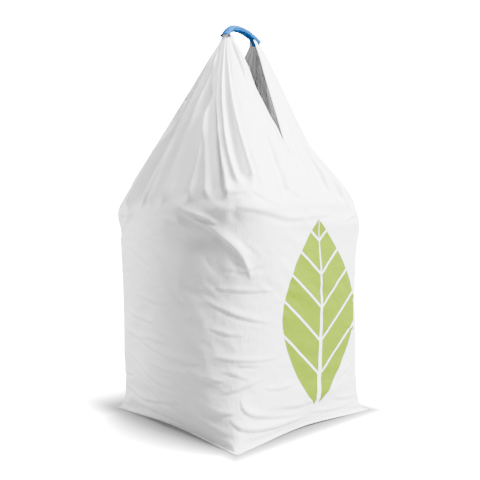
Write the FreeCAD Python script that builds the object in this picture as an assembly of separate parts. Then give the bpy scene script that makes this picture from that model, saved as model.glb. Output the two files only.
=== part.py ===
"""One-loop bulk bag, standing full: a circular-woven tube with a sewn bottom, whose upper end is slit
front and back, gathered into two necks and joined over the top in one wrapped lifting loop.

Frame: +Z up, origin on the floor at the middle of the base. The loop spans along X, and the slits are in
the front face (-Y) and the back face (+Y). Millimetres.
"""
import FreeCAD, Part
import math
import os

V = FreeCAD.Vector

# ---- driving dimensions -------------------------------------------------------------------------------
EAR = 476.0             # half the base, from the middle to a pulled-out bottom corner, along X and Y
SEAM_PINCH = 18.0       # how far the bottom seam bows inwards at the middle of a side
SEAM_WIDTH = 24.0       # folded seam allowance of the bottom seam
SEAM_HEIGHT = 4.0
FABRIC = 2.0            # woven fabric (a stand-in for about 0.4 mm)
FILM = 0.8              # liner film (a stand-in for about 0.1 mm)
GAP = 0.4               # free space between layers that only touch
THREAD = 1.2            # sewing thread

WALL_TOP = 1290.0       # up to here the fabric lies on the heap of contents and keeps its place
SLIT_FOOT = 1420.0      # lowest point of the front and back slits
NECK_FOOT = 1900.0      # the gathered necks begin
NECK_TOP = 1968.0
SWING_Z = 1985.0        # height of the line that the loop tips about
NECK_X = 106.0          # middle of each neck, from the middle of the bag

ARCH_MOUTH_X = 110.0    # the loop's centreline starts here, at the sleeve's mouths
ARCH_MOUTH_Z = 1978.0
ARCH_KNEE_X = 82.0      # where its rising legs would meet its level top
ARCH_TOP_Z = 2037.0
ARCH_BEND = 42.0        # radius of the two bends
SLEEVE_HALF_WIDTH = 23.0
SLEEVE_HALF_HEIGHT = 17.0
SLEEVE_WALL = 1.5

# Height, half width, corner radius and side bulge of the filled tube, from the base to the shoulder.
WALL_SECTIONS = [
    (SEAM_HEIGHT + GAP, 448.0, 16.0, 0.0),
    (60.0, 457.0, 40.0, 3.0),
    (250.0, 463.0, 62.0, 10.0),
    (700.0, 464.0, 66.0, 12.0),
    (1040.0, 466.0, 58.0, 9.0),
    (1130.0, 455.0, 56.0, 5.0),
    (WALL_TOP, 394.0, 58.0, 0.0),
]
# The same four numbers for the heap of contents above the tube's last shared section.
HEAP_SECTIONS = [
    (1190.0, 426.0, 70.0, 3.0),
    (1226.0, 350.0, 100.0, 0.0),
    (1246.0, 240.0, 100.0, 0.0),
    (1256.0, 110.0, 80.0, 0.0),
]
SKIRT_TOP_HALF_X = 345.0    # the tent at the foot of the slits
SKIRT_TOP_HALF_Y = 324.0
SKIRT_TOP_CORNER = 50.0
LEG_TOP_INNER_X = 68.0      # each leg's top, before it is gathered
LEG_TOP_OUTER_X = 164.0
LEG_TOP_HALF_Y = 66.0
LEG_TOP_CORNER = 30.0

SLIT_START = 3.0            # half the slit's width at its foot
HEM_WIDTH = 18.0
HEM_THICKNESS = 1.4
SLIT_BOX_WIDTH = 26.0       # the stitched box that stops a slit from tearing on
SLIT_BOX_HEIGHT = 74.0

LINER_NECK_FOOT = 1298.0
LINER_PIVOT_Z = 1312.0
LINER_TIE_Z = 1362.0
LINER_NECK_TOP = 1420.0
LINER_NECK_RADIUS = 21.0
LINER_WAIST_RADIUS = 13.0

POUCH_WIDTH = 236.0
POUCH_FOOT = 700.0
POUCH_HEIGHT = 310.0
POUCH_HEADER = 24.0
POUCH_WELD = 8.0
SHEET = 0.8                 # pouch sheets, card and label
BACK_PLANE = EAR + 0.3      # the pouch and the label lie on this plane, against the back of the wall
CARD_WIDTH = 210.0
CARD_HEIGHT = 270.0

LABEL_X = -250.0
LABEL_WIDTH = 105.0
LABEL_TOP = 560.0
LABEL_LENGTH = 148.0
LABEL_HEADER = 16.0
LABEL_FOLD = 1.8            # space in which the label folds below its sewn header

STITCH_PITCH = 12.0
STITCH_LENGTH = 8.0


# ---- outlines -----------------------------------------------------------------------------------------
def arc(a, b, c):
    """Edge from a to c through b."""
    return Part.Arc(a, b, c).toShape()


def line(a, b):
    return Part.LineSegment(a, b).toShape()


def corner_arc(centre_x, centre_y, radius, start_deg, z, turn_deg=90.0):
    """Quarter circle that begins at start_deg and runs anticlockwise, or clockwise for a negative turn."""
    points = []
    for share in (0.0, 0.5, 1.0):
        a = math.radians(start_deg + turn_deg * share)
        points.append(V(centre_x + radius * math.cos(a), centre_y + radius * math.sin(a), z))
    return arc(*points)


def side(a, b, bulge):
    """Edge from a to b that stands out by bulge in its middle, to the right of its direction."""
    if abs(bulge) < 1e-6:
        return line(a, b)
    along = (b - a).normalize()
    outward = V(along.y, -along.x, 0)
    return arc(a, (a + b) * 0.5 + outward * bulge, b)


def rounded_box_wire(z, half_x, half_y, radius, bulge=0.0, centre_x=0.0):
    """Closed outline: a rectangle with round corners, whose sides may stand out."""
    x0, x1 = centre_x - half_x, centre_x + half_x
    ix0, ix1, iy = x0 + radius, x1 - radius, half_y - radius
    return Part.Wire([
        side(V(ix0, -half_y, z), V(ix1, -half_y, z), bulge),
        corner_arc(ix1, -iy, radius, -90, z),
        side(V(x1, -iy, z), V(x1, iy, z), bulge),
        corner_arc(ix1, iy, radius, 0, z),
        side(V(ix1, half_y, z), V(ix0, half_y, z), bulge),
        corner_arc(ix0, iy, radius, 90, z),
        side(V(x0, iy, z), V(x0, -iy, z), bulge),
        corner_arc(ix0, -iy, radius, 180, z),
    ])


def pinched_square(z, half, pinch):
    """Closed outline with sharp corners, whose sides bow inwards."""
    corners = [V(-half, -half, z), V(half, -half, z), V(half, half, z), V(-half, half, z)]
    return Part.Wire([side(a, b, -pinch) for a, b in zip(corners, corners[1:] + corners[:1])])


def loft(wires):
    return Part.makeLoft(wires, True, True)


def prism(outline, height):
    return Part.Face(outline).extrude(V(0, 0, height))


def prism_between(outer, inner, height):
    """A flat ring of that height between two closed outlines."""
    return prism(outer, height).cut(prism(inner, height))


def section_solid(sections, inset=0.0, drop_ends=0.0):
    """Solid through rounded sections, each made smaller by inset; its ends move inwards by drop_ends."""
    wires = []
    for i, (z, half, radius, bulge) in enumerate(sections):
        z_here = z + drop_ends if i == 0 else z
        if i >= len(sections) - len(HEAP_SECTIONS) and drop_ends:
            z_here = z - drop_ends
        wires.append(rounded_box_wire(z_here, half - inset, half - inset, radius - inset, bulge))
    return loft(wires)


# ---- the woven tube, the bottom and what they hold ----------------------------------------------------
def tube_wall():
    outer = section_solid(WALL_SECTIONS)
    inner = section_solid(WALL_SECTIONS, FABRIC)
    return outer.cut(inner)


def bottom_seam():
    outer = pinched_square(0.0, EAR, SEAM_PINCH)
    inner = pinched_square(0.0, EAR - SEAM_WIDTH, SEAM_PINCH)
    return prism_between(outer, inner, SEAM_HEIGHT)


def bottom_panel():
    return prism(pinched_square(0.0, EAR - SEAM_WIDTH - GAP, SEAM_PINCH), SEAM_HEIGHT)


def bottom_seam_thread():
    edge = 2.5
    outer = pinched_square(SEAM_HEIGHT, EAR - edge, SEAM_PINCH)
    inner = pinched_square(SEAM_HEIGHT, EAR - edge - THREAD, SEAM_PINCH)
    return prism_between(outer, inner, THREAD)


def contents_sections():
    shared = [s for s in WALL_SECTIONS if s[0] < WALL_TOP]
    return shared + HEAP_SECTIONS


def liner_body():
    film_out = FABRIC + GAP
    outer = section_solid(contents_sections(), film_out, film_out)
    inner = section_solid(contents_sections(), film_out + FILM, film_out + FILM)
    top = HEAP_SECTIONS[-1][0] - film_out
    cone = Part.makeCone(58.0, LINER_WAIST_RADIUS, LINER_NECK_FOOT - top, V(0, 0, top))
    return outer.fuse(cone).cut(inner)


def bulk_contents():
    inset = FABRIC + GAP + FILM + GAP
    return section_solid(contents_sections(), inset, inset)


def liner_neck():
    """Gathered film above the liner: a rounded foot, a body drawn in at the tie, and a fanned-out end."""
    ball = LINER_WAIST_RADIUS
    profile = Part.Wire([
        arc(V(0, 0, LINER_PIVOT_Z - ball), V(ball * math.sin(math.pi / 4), 0,
            LINER_PIVOT_Z - ball * math.cos(math.pi / 4)), V(ball, 0, LINER_PIVOT_Z)),
        line(V(ball, 0, LINER_PIVOT_Z), V(LINER_NECK_RADIUS, 0, LINER_TIE_Z - 16)),
        line(V(LINER_NECK_RADIUS, 0, LINER_TIE_Z - 16), V(ball, 0, LINER_TIE_Z - 3)),
        line(V(ball, 0, LINER_TIE_Z - 3), V(ball, 0, LINER_TIE_Z + 3)),
        line(V(ball, 0, LINER_TIE_Z + 3), V(LINER_NECK_RADIUS + 8, 0, LINER_NECK_TOP)),
        line(V(LINER_NECK_RADIUS + 8, 0, LINER_NECK_TOP), V(0, 0, LINER_NECK_TOP)),
        line(V(0, 0, LINER_NECK_TOP), V(0, 0, LINER_PIVOT_Z - ball)),
    ])
    return Part.Face(profile).revolve(V(0, 0, 0), V(0, 0, 1), 360)


def liner_neck_tie():
    """Cable tie: a band round the neck with its lock block on one side."""
    radius = LINER_WAIST_RADIUS + 0.1
    band = Part.makeCylinder(radius + 1.4, 4.8, V(0, 0, LINER_TIE_Z - 2.4))
    band = band.cut(Part.makeCylinder(radius, 4.8, V(0, 0, LINER_TIE_Z - 2.4)))
    lock = Part.makeBox(6.0, 8.0, 5.6, V(radius + 1.0, -4.0, LINER_TIE_Z - 2.8))
    tail = Part.makeBox(24.0, 4.6, 1.4, V(radius + 5.0, -2.3, LINER_TIE_Z - 0.7))
    return band.fuse([lock, tail]).removeSplitter()


# ---- the tent: skirt, legs, hems and slit boxes -------------------------------------------------------
def tent_skirt():
    z, half, radius, _ = WALL_SECTIONS[-1]
    foot = z + GAP

    def solid(inset):
        low = rounded_box_wire(foot, half - inset, half - inset, radius - inset)
        high = rounded_box_wire(SLIT_FOOT, SKIRT_TOP_HALF_X - inset, SKIRT_TOP_HALF_Y - inset,
                                SKIRT_TOP_CORNER - inset)
        return loft([low, high])

    return solid(0.0).cut(solid(FABRIC))


def leg_wire(z, sign, slit_x, outer_x, half_y, radius):
    """Open-sided band of one fabric thickness round three sides of a leg."""
    def half_outline(inset):
        ox, hy, r = outer_x - inset, half_y - inset, radius - inset
        return [
            line(V(-slit_x, -hy, z), V(-(ox - r), -hy, z)),
            corner_arc(-(ox - r), -(hy - r), r, -90, z, -90.0),
            line(V(-ox, -(hy - r), z), V(-ox, hy - r, z)),
            corner_arc(-(ox - r), hy - r, r, 180, z, -90.0),
            line(V(-(ox - r), hy, z), V(-slit_x, hy, z)),
        ]

    outer, inner = half_outline(0.0), half_outline(FABRIC)
    ends = [line(V(-slit_x, half_y, z), V(-slit_x, half_y - FABRIC, z)),
            line(V(-slit_x, -(half_y - FABRIC), z), V(-slit_x, -half_y, z))]
    wire = Part.Wire(Part.sortEdges(outer + [ends[0]] + inner[::-1] + [ends[1]])[0])
    return wire if sign < 0 else wire.mirror(V(0, 0, 0), V(1, 0, 0))


def tent_leg(sign):
    low = leg_wire(SLIT_FOOT + GAP, -1, SLIT_START, SKIRT_TOP_HALF_X, SKIRT_TOP_HALF_Y, SKIRT_TOP_CORNER)
    high = leg_wire(NECK_FOOT - GAP, -1, LEG_TOP_INNER_X, LEG_TOP_OUTER_X, LEG_TOP_HALF_Y, LEG_TOP_CORNER)
    left = loft([low, high])
    return left if sign < 0 else left.mirror(V(0, 0, 0), V(1, 0, 0))


def slit_hem(x_sign, y_sign):
    """Folded hem on the outside of a leg, along one edge of a slit."""
    def quad(z, slit_x, half_y):
        near = half_y + GAP
        points = [V(-slit_x, -near, z), V(-slit_x - HEM_WIDTH, -near, z),
                  V(-slit_x - HEM_WIDTH, -near - HEM_THICKNESS, z), V(-slit_x, -near - HEM_THICKNESS, z)]
        return Part.makePolygon(points + points[:1])

    hem = loft([quad(SLIT_FOOT + GAP, SLIT_START, SKIRT_TOP_HALF_Y), quad(NECK_FOOT - GAP, LEG_TOP_INNER_X,
                                                                        LEG_TOP_HALF_Y)])
    if x_sign > 0:
        hem = hem.mirror(V(0, 0, 0), V(1, 0, 0))
    if y_sign > 0:
        hem = hem.mirror(V(0, 0, 0), V(0, 1, 0))
    return hem


def slit_stitches(y_sign):
    """U of lock stitching below a slit's foot, lying on the sloping front of the skirt."""
    z_low, half_low = WALL_TOP, WALL_SECTIONS[-1][1]
    slope = math.degrees(math.atan2(half_low - SKIRT_TOP_HALF_Y, SLIT_FOOT - z_low))
    bars = []
    rows = int(SLIT_BOX_HEIGHT // STITCH_PITCH)
    for i in range(rows):
        for x in (-SLIT_BOX_WIDTH / 2, SLIT_BOX_WIDTH / 2 - THREAD):
            bars.append(Part.makeBox(THREAD, THREAD, STITCH_LENGTH, V(x, -THREAD - GAP, -(i + 1) * STITCH_PITCH)))
    foot_z = -(rows + 0.35) * STITCH_PITCH
    for x in (-SLIT_BOX_WIDTH / 2, SLIT_BOX_WIDTH / 2 - STITCH_LENGTH):
        bars.append(Part.makeBox(STITCH_LENGTH, THREAD, THREAD, V(x, -THREAD - GAP, foot_z)))
    group = Part.makeCompound(bars)
    group.rotate(V(0, 0, 0), V(1, 0, 0), -slope)
    group.translate(V(0, -SKIRT_TOP_HALF_Y, SLIT_FOOT))
    return group if y_sign < 0 else group.mirror(V(0, 0, 0), V(0, 1, 0))


# ---- necks and loop -----------------------------------------------------------------------------------
def neck(sign):
    """Gathered bundle between a leg and the loop."""
    middle = (LEG_TOP_INNER_X + LEG_TOP_OUTER_X) / 2
    half = (LEG_TOP_OUTER_X - LEG_TOP_INNER_X) / 2
    low = rounded_box_wire(NECK_FOOT, half, LEG_TOP_HALF_Y, LEG_TOP_CORNER, 0.0, sign * middle)
    high = rounded_box_wire(NECK_TOP, 24.0, 24.0, 20.0, 0.0, sign * NECK_X)
    return loft([low, high])


def arch_path(lift=0.0):
    """Centreline of the loop: a rising leg, a bend, a level top, a bend and a falling leg. It is moved
    outwards, away from the eye, by lift."""
    rise = math.atan2(ARCH_TOP_Z - ARCH_MOUTH_Z, ARCH_MOUTH_X - ARCH_KNEE_X)
    shift = V(-math.sin(rise), 0, math.cos(rise)) * lift
    mouth = V(-ARCH_MOUTH_X, 0, ARCH_MOUTH_Z) + shift
    radius = ARCH_BEND + lift
    centre_x = -(ARCH_KNEE_X - ARCH_BEND * math.tan(rise / 2))
    centre_z = ARCH_TOP_Z - ARCH_BEND

    def on_bend(angle):
        return V(centre_x - radius * math.sin(angle), 0, centre_z + radius * math.cos(angle))

    start, middle, top = on_bend(rise), on_bend(rise / 2), on_bend(0.0)

    def mirrored(p):
        return V(-p.x, p.y, p.z)

    return Part.Wire([
        line(mouth, start),
        arc(start, middle, top),
        line(top, mirrored(top)),
        arc(mirrored(top), mirrored(middle), mirrored(start)),
        line(mirrored(start), mirrored(mouth)),
    ])


def arch_profile(points_to_wire):
    """Moves an outline drawn about the origin, with its normal along Z, to the start of the arch."""
    rise = math.atan2(ARCH_TOP_Z - ARCH_MOUTH_Z, ARCH_MOUTH_X - ARCH_KNEE_X)
    wire = points_to_wire.copy()
    wire.rotate(V(0, 0, 0), V(0, 1, 0), 90.0 - math.degrees(rise))
    wire.translate(V(-ARCH_MOUTH_X, 0, ARCH_MOUTH_Z))
    return wire


def sweep_arch(profile):
    return arch_path().makePipeShell([arch_profile(profile)], True, False)


def oval(half_x, half_y):
    ellipse = Part.Ellipse(V(0, half_y, 0), V(half_x, 0, 0), V(0, 0, 0))
    return Part.Wire([ellipse.toShape()])


def loop_sleeve():
    outer = sweep_arch(oval(SLEEVE_HALF_HEIGHT, SLEEVE_HALF_WIDTH))
    inner = sweep_arch(oval(SLEEVE_HALF_HEIGHT - SLEEVE_WALL, SLEEVE_HALF_WIDTH - SLEEVE_WALL))
    return outer.cut(inner)


def splice_threads():
    """Thread bars through both gathered ends where they lap in the top of the loop."""
    reach = SLEEVE_HALF_WIDTH - SLEEVE_WALL - 3.0
    bars = []
    for x in (-54.0, -36.0, -18.0, 0.0, 18.0, 36.0, 54.0):
        for dz in (-5.0, 5.0):
            bars.append(Part.makeCylinder(THREAD / 2, 2 * reach, V(x, -reach, ARCH_TOP_Z + dz), V(0, 1, 0)))
    return bars


def loop_core(sign):
    """One of the two flattened ropes of gathered fabric that lie side by side in the sleeve."""
    inner = SLEEVE_WALL + GAP
    both = sweep_arch(oval(SLEEVE_HALF_HEIGHT - inner, SLEEVE_HALF_WIDTH - inner))
    box = both.BoundBox
    near = GAP / 2 if sign > 0 else -GAP / 2 - box.YLength
    half = Part.makeBox(box.XLength + 2, box.YLength, box.ZLength + 2, V(box.XMin - 1, near, box.ZMin - 1))
    return both.common(half).cut(splice_threads())


def loop_splice_stitches():
    return Part.makeCompound(splice_threads())


def sleeve_seam_thread():
    """Stitching that closes the sleeve, along the underside of the loop's level top."""
    bars = []
    level = ARCH_TOP_Z - SLEEVE_HALF_HEIGHT - THREAD - 0.1
    for i in range(-4, 5):
        bars.append(Part.makeBox(STITCH_LENGTH, THREAD, THREAD,
                                 V(i * STITCH_PITCH - STITCH_LENGTH / 2, -THREAD / 2, level)))
    return Part.makeCompound(bars)


# ---- what is sewn to the back -------------------------------------------------------------------------
def pouch_back():
    return Part.makeBox(POUCH_WIDTH, SHEET, POUCH_HEIGHT, V(-POUCH_WIDTH / 2, BACK_PLANE, POUCH_FOOT))


def pouch_front():
    """Front sheet, welded to the back sheet along three sides and open at the top."""
    y = BACK_PLANE + SHEET + 0.05
    pocket = THREAD + SHEET + 2 * GAP
    height = POUCH_HEIGHT - POUCH_HEADER
    body = Part.makeBox(POUCH_WIDTH, pocket + SHEET, height, V(-POUCH_WIDTH / 2, y, POUCH_FOOT))
    room = Part.makeBox(POUCH_WIDTH - 2 * POUCH_WELD, pocket, height,
                        V(-POUCH_WIDTH / 2 + POUCH_WELD, y, POUCH_FOOT + POUCH_WELD))
    return body.cut(room)


def document_card():
    y = BACK_PLANE + SHEET + 0.05 + THREAD + GAP
    return Part.makeBox(CARD_WIDTH, SHEET, CARD_HEIGHT,
                        V(-CARD_WIDTH / 2, y, POUCH_FOOT + POUCH_WELD + 0.5))


def stitch_row(x_from, x_to, z, y):
    """Row of thread bars along X, on the sheet whose outer face is at y."""
    bars = []
    count = int((x_to - x_from) // STITCH_PITCH)
    for i in range(count):
        bars.append(Part.makeBox(STITCH_LENGTH, THREAD, THREAD, V(x_from + i * STITCH_PITCH, y, z)))
    return bars


def pouch_stitches():
    z = POUCH_FOOT + POUCH_HEIGHT - POUCH_HEADER / 3
    return Part.makeCompound(stitch_row(-POUCH_WIDTH / 2 + 8, POUCH_WIDTH / 2 - 4, z, BACK_PLANE + SHEET + 0.05))


def label_header():
    return Part.makeBox(LABEL_WIDTH, SHEET, LABEL_HEADER, V(LABEL_X, BACK_PLANE, LABEL_TOP + LABEL_FOLD))


def label_stitches():
    y = BACK_PLANE + SHEET + 0.05
    bars = []
    for share in (0.3, 0.7):
        z = LABEL_TOP + LABEL_FOLD + share * LABEL_HEADER
        bars += stitch_row(LABEL_X + 6, LABEL_X + LABEL_WIDTH - 4, z, y)
    return Part.makeCompound(bars)


def safety_label():
    return Part.makeBox(LABEL_WIDTH, SHEET, LABEL_LENGTH, V(LABEL_X, BACK_PLANE, LABEL_TOP - LABEL_LENGTH))


# ---- the assembly -------------------------------------------------------------------------------------
PARTS = {
    "tube_wall": tube_wall,
    "bottom_panel": bottom_panel,
    "bottom_seam": bottom_seam,
    "bottom_seam_thread": bottom_seam_thread,
    "bulk_contents": bulk_contents,
    "liner_body": liner_body,
    "liner_neck": liner_neck,
    "liner_neck_tie": liner_neck_tie,
    "tent_skirt": tent_skirt,
    "tent_leg_left": lambda: tent_leg(-1),
    "tent_leg_right": lambda: tent_leg(1),
    "slit_hem_front_left": lambda: slit_hem(-1, -1),
    "slit_hem_front_right": lambda: slit_hem(1, -1),
    "slit_hem_back_left": lambda: slit_hem(-1, 1),
    "slit_hem_back_right": lambda: slit_hem(1, 1),
    "slit_stitches_front": lambda: slit_stitches(-1),
    "slit_stitches_back": lambda: slit_stitches(1),
    "neck_left": lambda: neck(-1),
    "neck_right": lambda: neck(1),
    "loop_core_front": lambda: loop_core(-1),
    "loop_core_back": lambda: loop_core(1),
    "loop_splice_stitches": loop_splice_stitches,
    "loop_sleeve": loop_sleeve,
    "sleeve_seam_thread": sleeve_seam_thread,
    "document_pouch_back": pouch_back,
    "document_pouch_front": pouch_front,
    "document_pouch_stitches": pouch_stitches,
    "document_card": document_card,
    "safety_label": safety_label,
    "safety_label_header": label_header,
    "safety_label_stitches": label_stitches,
}

os.makedirs("parts", exist_ok=True)
for name, make in PARTS.items():
    shape = make()
    if not shape.isValid() or not shape.Solids:
        raise SystemExit(f"{name} is not a valid solid")
    shape.exportStep(f"parts/{name}.step")
    box = shape.BoundBox
    print(f"{name}: {len(shape.Solids)} solids, {shape.Volume / 1e6:.3f} litres, "
          f"{box.XLength:.1f} x {box.YLength:.1f} x {box.ZLength:.1f} from z {box.ZMin:.1f}")
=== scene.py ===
"""Looks of a full one-loop bulk bag: woven fabric with its folds and creases, a sleeved lifting loop,
the sewn bottom, the liner's tied neck, and the pouch and label on the back. Metres, in the CAD frame.

The woven tube is one grid of points for each half of the bag, left and right of the slits. A half's
columns run from the front slit round its side to the back slit, and its rows from the floor to the loop.
"""
import math
from functools import partialmethod

import bmesh
import bpy
import numpy as np
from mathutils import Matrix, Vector


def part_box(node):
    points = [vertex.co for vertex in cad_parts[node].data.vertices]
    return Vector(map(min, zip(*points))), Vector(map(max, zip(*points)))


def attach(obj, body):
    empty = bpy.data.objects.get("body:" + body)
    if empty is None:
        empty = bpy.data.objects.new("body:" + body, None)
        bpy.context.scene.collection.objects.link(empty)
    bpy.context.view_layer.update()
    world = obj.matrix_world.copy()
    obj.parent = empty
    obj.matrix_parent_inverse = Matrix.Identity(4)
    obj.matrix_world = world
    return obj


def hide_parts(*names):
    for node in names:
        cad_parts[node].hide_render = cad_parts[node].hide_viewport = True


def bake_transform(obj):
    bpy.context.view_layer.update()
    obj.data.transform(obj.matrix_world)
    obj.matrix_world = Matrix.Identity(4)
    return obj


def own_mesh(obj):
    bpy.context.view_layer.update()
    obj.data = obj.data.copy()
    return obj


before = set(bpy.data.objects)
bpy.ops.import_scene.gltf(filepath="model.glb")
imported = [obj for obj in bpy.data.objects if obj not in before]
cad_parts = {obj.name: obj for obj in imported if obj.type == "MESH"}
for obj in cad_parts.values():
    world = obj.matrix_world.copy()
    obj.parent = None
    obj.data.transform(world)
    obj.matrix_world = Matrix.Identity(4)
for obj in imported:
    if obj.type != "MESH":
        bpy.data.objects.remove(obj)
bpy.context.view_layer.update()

# ---- levels and sizes, from the frame ----
WALL_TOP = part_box("tube_wall")[1].z             # the fabric's split ring: above it the tent drops
SLIT_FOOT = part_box("tent_leg_left")[0].z
NECK_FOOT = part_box("neck_left")[0].z
NECK_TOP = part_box("neck_left")[1].z
SLEEVE_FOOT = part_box("loop_sleeve")[0].z
BACK_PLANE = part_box("document_pouch_back")[0].y - 0.0008
FLAT_BACK = 0.32, 0.34, 1.09                    # half width, foot and top of the back's flat area
HALF_WIDTH = 0.462                              # of the wall
GIRTH = 8 * HALF_WIDTH                          # flat girth of the woven tube

HALF_COLUMNS = 112
ROW_STEP = 0.0165
LEFT, RIGHT = 0, 1
SIDE_SIGN = (-1.0, 1.0)
CORNER_AT = (0.25, 0.75)                        # where a half's two corners are, as a share of its columns
ALONG_Y = np.array([0.0, 1.0, 0.0])
STITCH_PITCH, STITCH = 0.0085, 0.0058          # from one lock stitch to the next, and a stitch's length

# ---- the filled shape ----
# Height, half width along X, half width along Y.
BODY_WIDTHS = [
    (0.000, 0.474, 0.474),
    (0.045, 0.462, 0.462),
    (0.250, 0.462, 0.462),
    (0.700, 0.462, 0.462),
    (1.040, 0.470, 0.470),
    (1.110, 0.464, 0.464),
    (1.180, 0.444, 0.444),
    (1.290, 0.397, 0.396),
    (1.420, 0.346, 0.326),
    (1.650, 0.259, 0.202),
    (1.900, 0.164, 0.066),
    (1.975, 0.127, 0.021),
    (2.010, 0.112, 0.016),
    (2.060, 0.108, 0.015),
]
# Height, then the rounding of the corners: front left, back left, front right, back right.
CORNERS = [
    (0.000, 0.012, 0.012, 0.012, 0.012),
    (0.050, 0.060, 0.045, 0.045, 0.050),
    (0.250, 0.250, 0.065, 0.075, 0.090),
    (0.700, 0.370, 0.060, 0.085, 0.110),
    (1.040, 0.310, 0.030, 0.080, 0.090),
    (1.170, 0.230, 0.045, 0.130, 0.110),
    (1.290, 0.180, 0.060, 0.210, 0.150),
    (1.420, 0.140, 0.060, 0.300, 0.150),
    (1.650, 0.100, 0.060, 0.200, 0.110),
    (1.900, 0.070, 0.055, 0.070, 0.070),
    (1.975, 0.036, 0.036, 0.036, 0.036),
    (2.060, 0.036, 0.036, 0.036, 0.036),
]
# Height, then how far the middle of a side stands out: front, left, right, back.
BULGES = [
    (0.000, -0.026, -0.008, -0.016, -0.016),
    (0.050, -0.008, 0.000, -0.004, -0.004),
    (0.250, 0.010, 0.012, 0.012, 0.012),
    (0.700, 0.012, 0.020, 0.013, 0.013),
    (1.040, 0.004, 0.006, 0.006, 0.006),
    (1.290, 0.000, 0.000, 0.000, 0.000),
    (2.060, 0.000, 0.000, 0.000, 0.000),
]
# Height, then how far the whole section leans along X and Y.
LEAN = [
    (0.000, 0.000, 0.000),
    (0.300, -0.007, 0.007),
    (1.040, -0.007, 0.007),
    (1.290, -0.004, 0.003),
    (1.500, 0.000, 0.000),
    (2.060, 0.000, 0.000),
]


def smooth(t):
    t = np.clip(t, 0, 1)
    return t * t * (3 - 2 * t)


def column(table, heights, index):
    """One column of a table of heights and values, eased between its rows."""
    t = np.array(table)
    fine = np.arange(-0.1, 2.2, 0.005)
    values = np.interp(fine, t[:, 0], t[:, index])
    reach = np.hanning(17)
    eased = np.convolve(np.pad(values, 8, mode="edge"), reach / reach.sum(), mode="valid")
    # Near the floor the section changes fast, so it isn't eased there.
    share = np.clip((fine - 0.03) / 0.08, 0, 1)
    return np.interp(heights, fine, values * (1 - share) + eased * share)


def slit_half_width(side, heights):
    """The slit opens upwards. Its left edge is drawn aside a little more than its right one."""
    t = np.clip((heights - SLIT_FOOT) / (SLEEVE_FOOT + 0.015 - SLIT_FOOT), 0, 1)
    return 0.084 * t + (0.014, 0.0)[side] * np.sin(math.pi * t) ** 0.6


def half_section(side, heights, u, inset=0.0):
    """Points of one half's section: an array of rows (heights) by columns (u) by 3."""
    z = heights[:, None]
    w, d = [column(BODY_WIDTHS, heights, i)[:, None] - inset for i in (1, 2)]
    slit = np.minimum(slit_half_width(side, heights)[:, None], w * 0.62)
    first, second = [column(CORNERS, heights, 1 + 2 * side + i)[:, None] for i in (0, 1)]
    front, flank, back = [column(BULGES, heights, i)[:, None] for i in (1, 2 + side, 4)]
    a, b = CORNER_AT
    run_x, run_y = w - slit, 2 * d
    t1, t2, t3 = np.clip(u / a, 0, 1), np.clip((u - a) / (b - a), 0, 1), np.clip((u - b) / (1 - b), 0, 1)
    x = slit + run_x * (t1 - t3)
    y = -d + run_y * t2
    # Sides that stand out. The front and back run on across the middle, so they peak at the slit.
    y = y - front * np.cos(t1 * math.pi / 2) ** 2 * (t2 <= 0)
    y = y + back * np.sin(t3 * math.pi / 2) ** 2 * (t2 >= 1)
    x = x + flank * np.sin(t2 * math.pi) ** 2
    for radius, at, before, after in ((first, a, run_x / a, run_y / (b - a)),
                                      (second, b, run_y / (b - a), run_x / (1 - b))):
        r = np.minimum(radius, np.minimum(run_x, run_y / 2) * 0.98)
        along = u - at
        s = np.where(along < 0, along * before, along * after)
        share = np.clip((s + r) / (2 * r), 0, 1)
        inside = np.abs(s) < r
        pull_before = np.where(inside, (1 - share) ** 2 * r - np.clip(-s, 0, None), 0)
        pull_after = np.where(inside, share ** 2 * r - np.clip(s, 0, None), 0)
        if at == a:
            x, y = x - pull_before, y + pull_after
        else:
            x, y = x - pull_after, y - pull_before
    x = x * SIDE_SIGN[side] + column(LEAN, heights, 1)[:, None]
    y = y + column(LEAN, heights, 2)[:, None]
    return np.stack(np.broadcast_arrays(x, y, z), -1).astype(float)


def rows_of(low, high, step):
    return np.linspace(low, high, max(2, round((high - low) / step) + 1))


def heights_of_rows():
    """Row heights, with a row exactly at each level where the fabric is split."""
    parts = [
        rows_of(0.0, WALL_TOP, ROW_STEP),
        rows_of(WALL_TOP, SLIT_FOOT, ROW_STEP * 0.9)[1:],
        rows_of(SLIT_FOOT, NECK_FOOT, ROW_STEP * 0.85)[1:],
        rows_of(NECK_FOOT, SLEEVE_FOOT + 0.026, ROW_STEP * 0.8)[1:],
    ]
    return np.concatenate(parts)


# ---- folds of the tent ----
# Each valley: depth, half width, the height of its foot, the height where it has faded (9 if it runs on to
# the neck), and its place at heights 1.2, 1.5 and 1.8. Places and widths are shares of the half's columns.
LEFT_FOLDS = [
    (0.013, 0.012, 1.130, 1.52, 0.068, 0.090, 0.105),
    (0.012, 0.013, 1.175, 1.46, 0.170, 0.205, 0.230),
    (0.040, 0.024, 1.195, 9.0, 0.205, 0.262, 0.285),
    (0.036, 0.026, 1.120, 9.0, 0.322, 0.372, 0.430),
    (0.044, 0.032, 1.100, 1.78, 0.466, 0.466, 0.450),
    (0.042, 0.020, 1.085, 9.0, 0.566, 0.556, 0.520),
    (0.050, 0.027, 1.080, 9.0, 0.662, 0.650, 0.640),
    (0.022, 0.018, 1.160, 9.0, 0.750, 0.737, 0.725),
    (0.024, 0.022, 1.230, 9.0, 0.830, 0.820, 0.800),
    (0.014, 0.016, 1.280, 9.0, 0.905, 0.900, 0.890),
]
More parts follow.
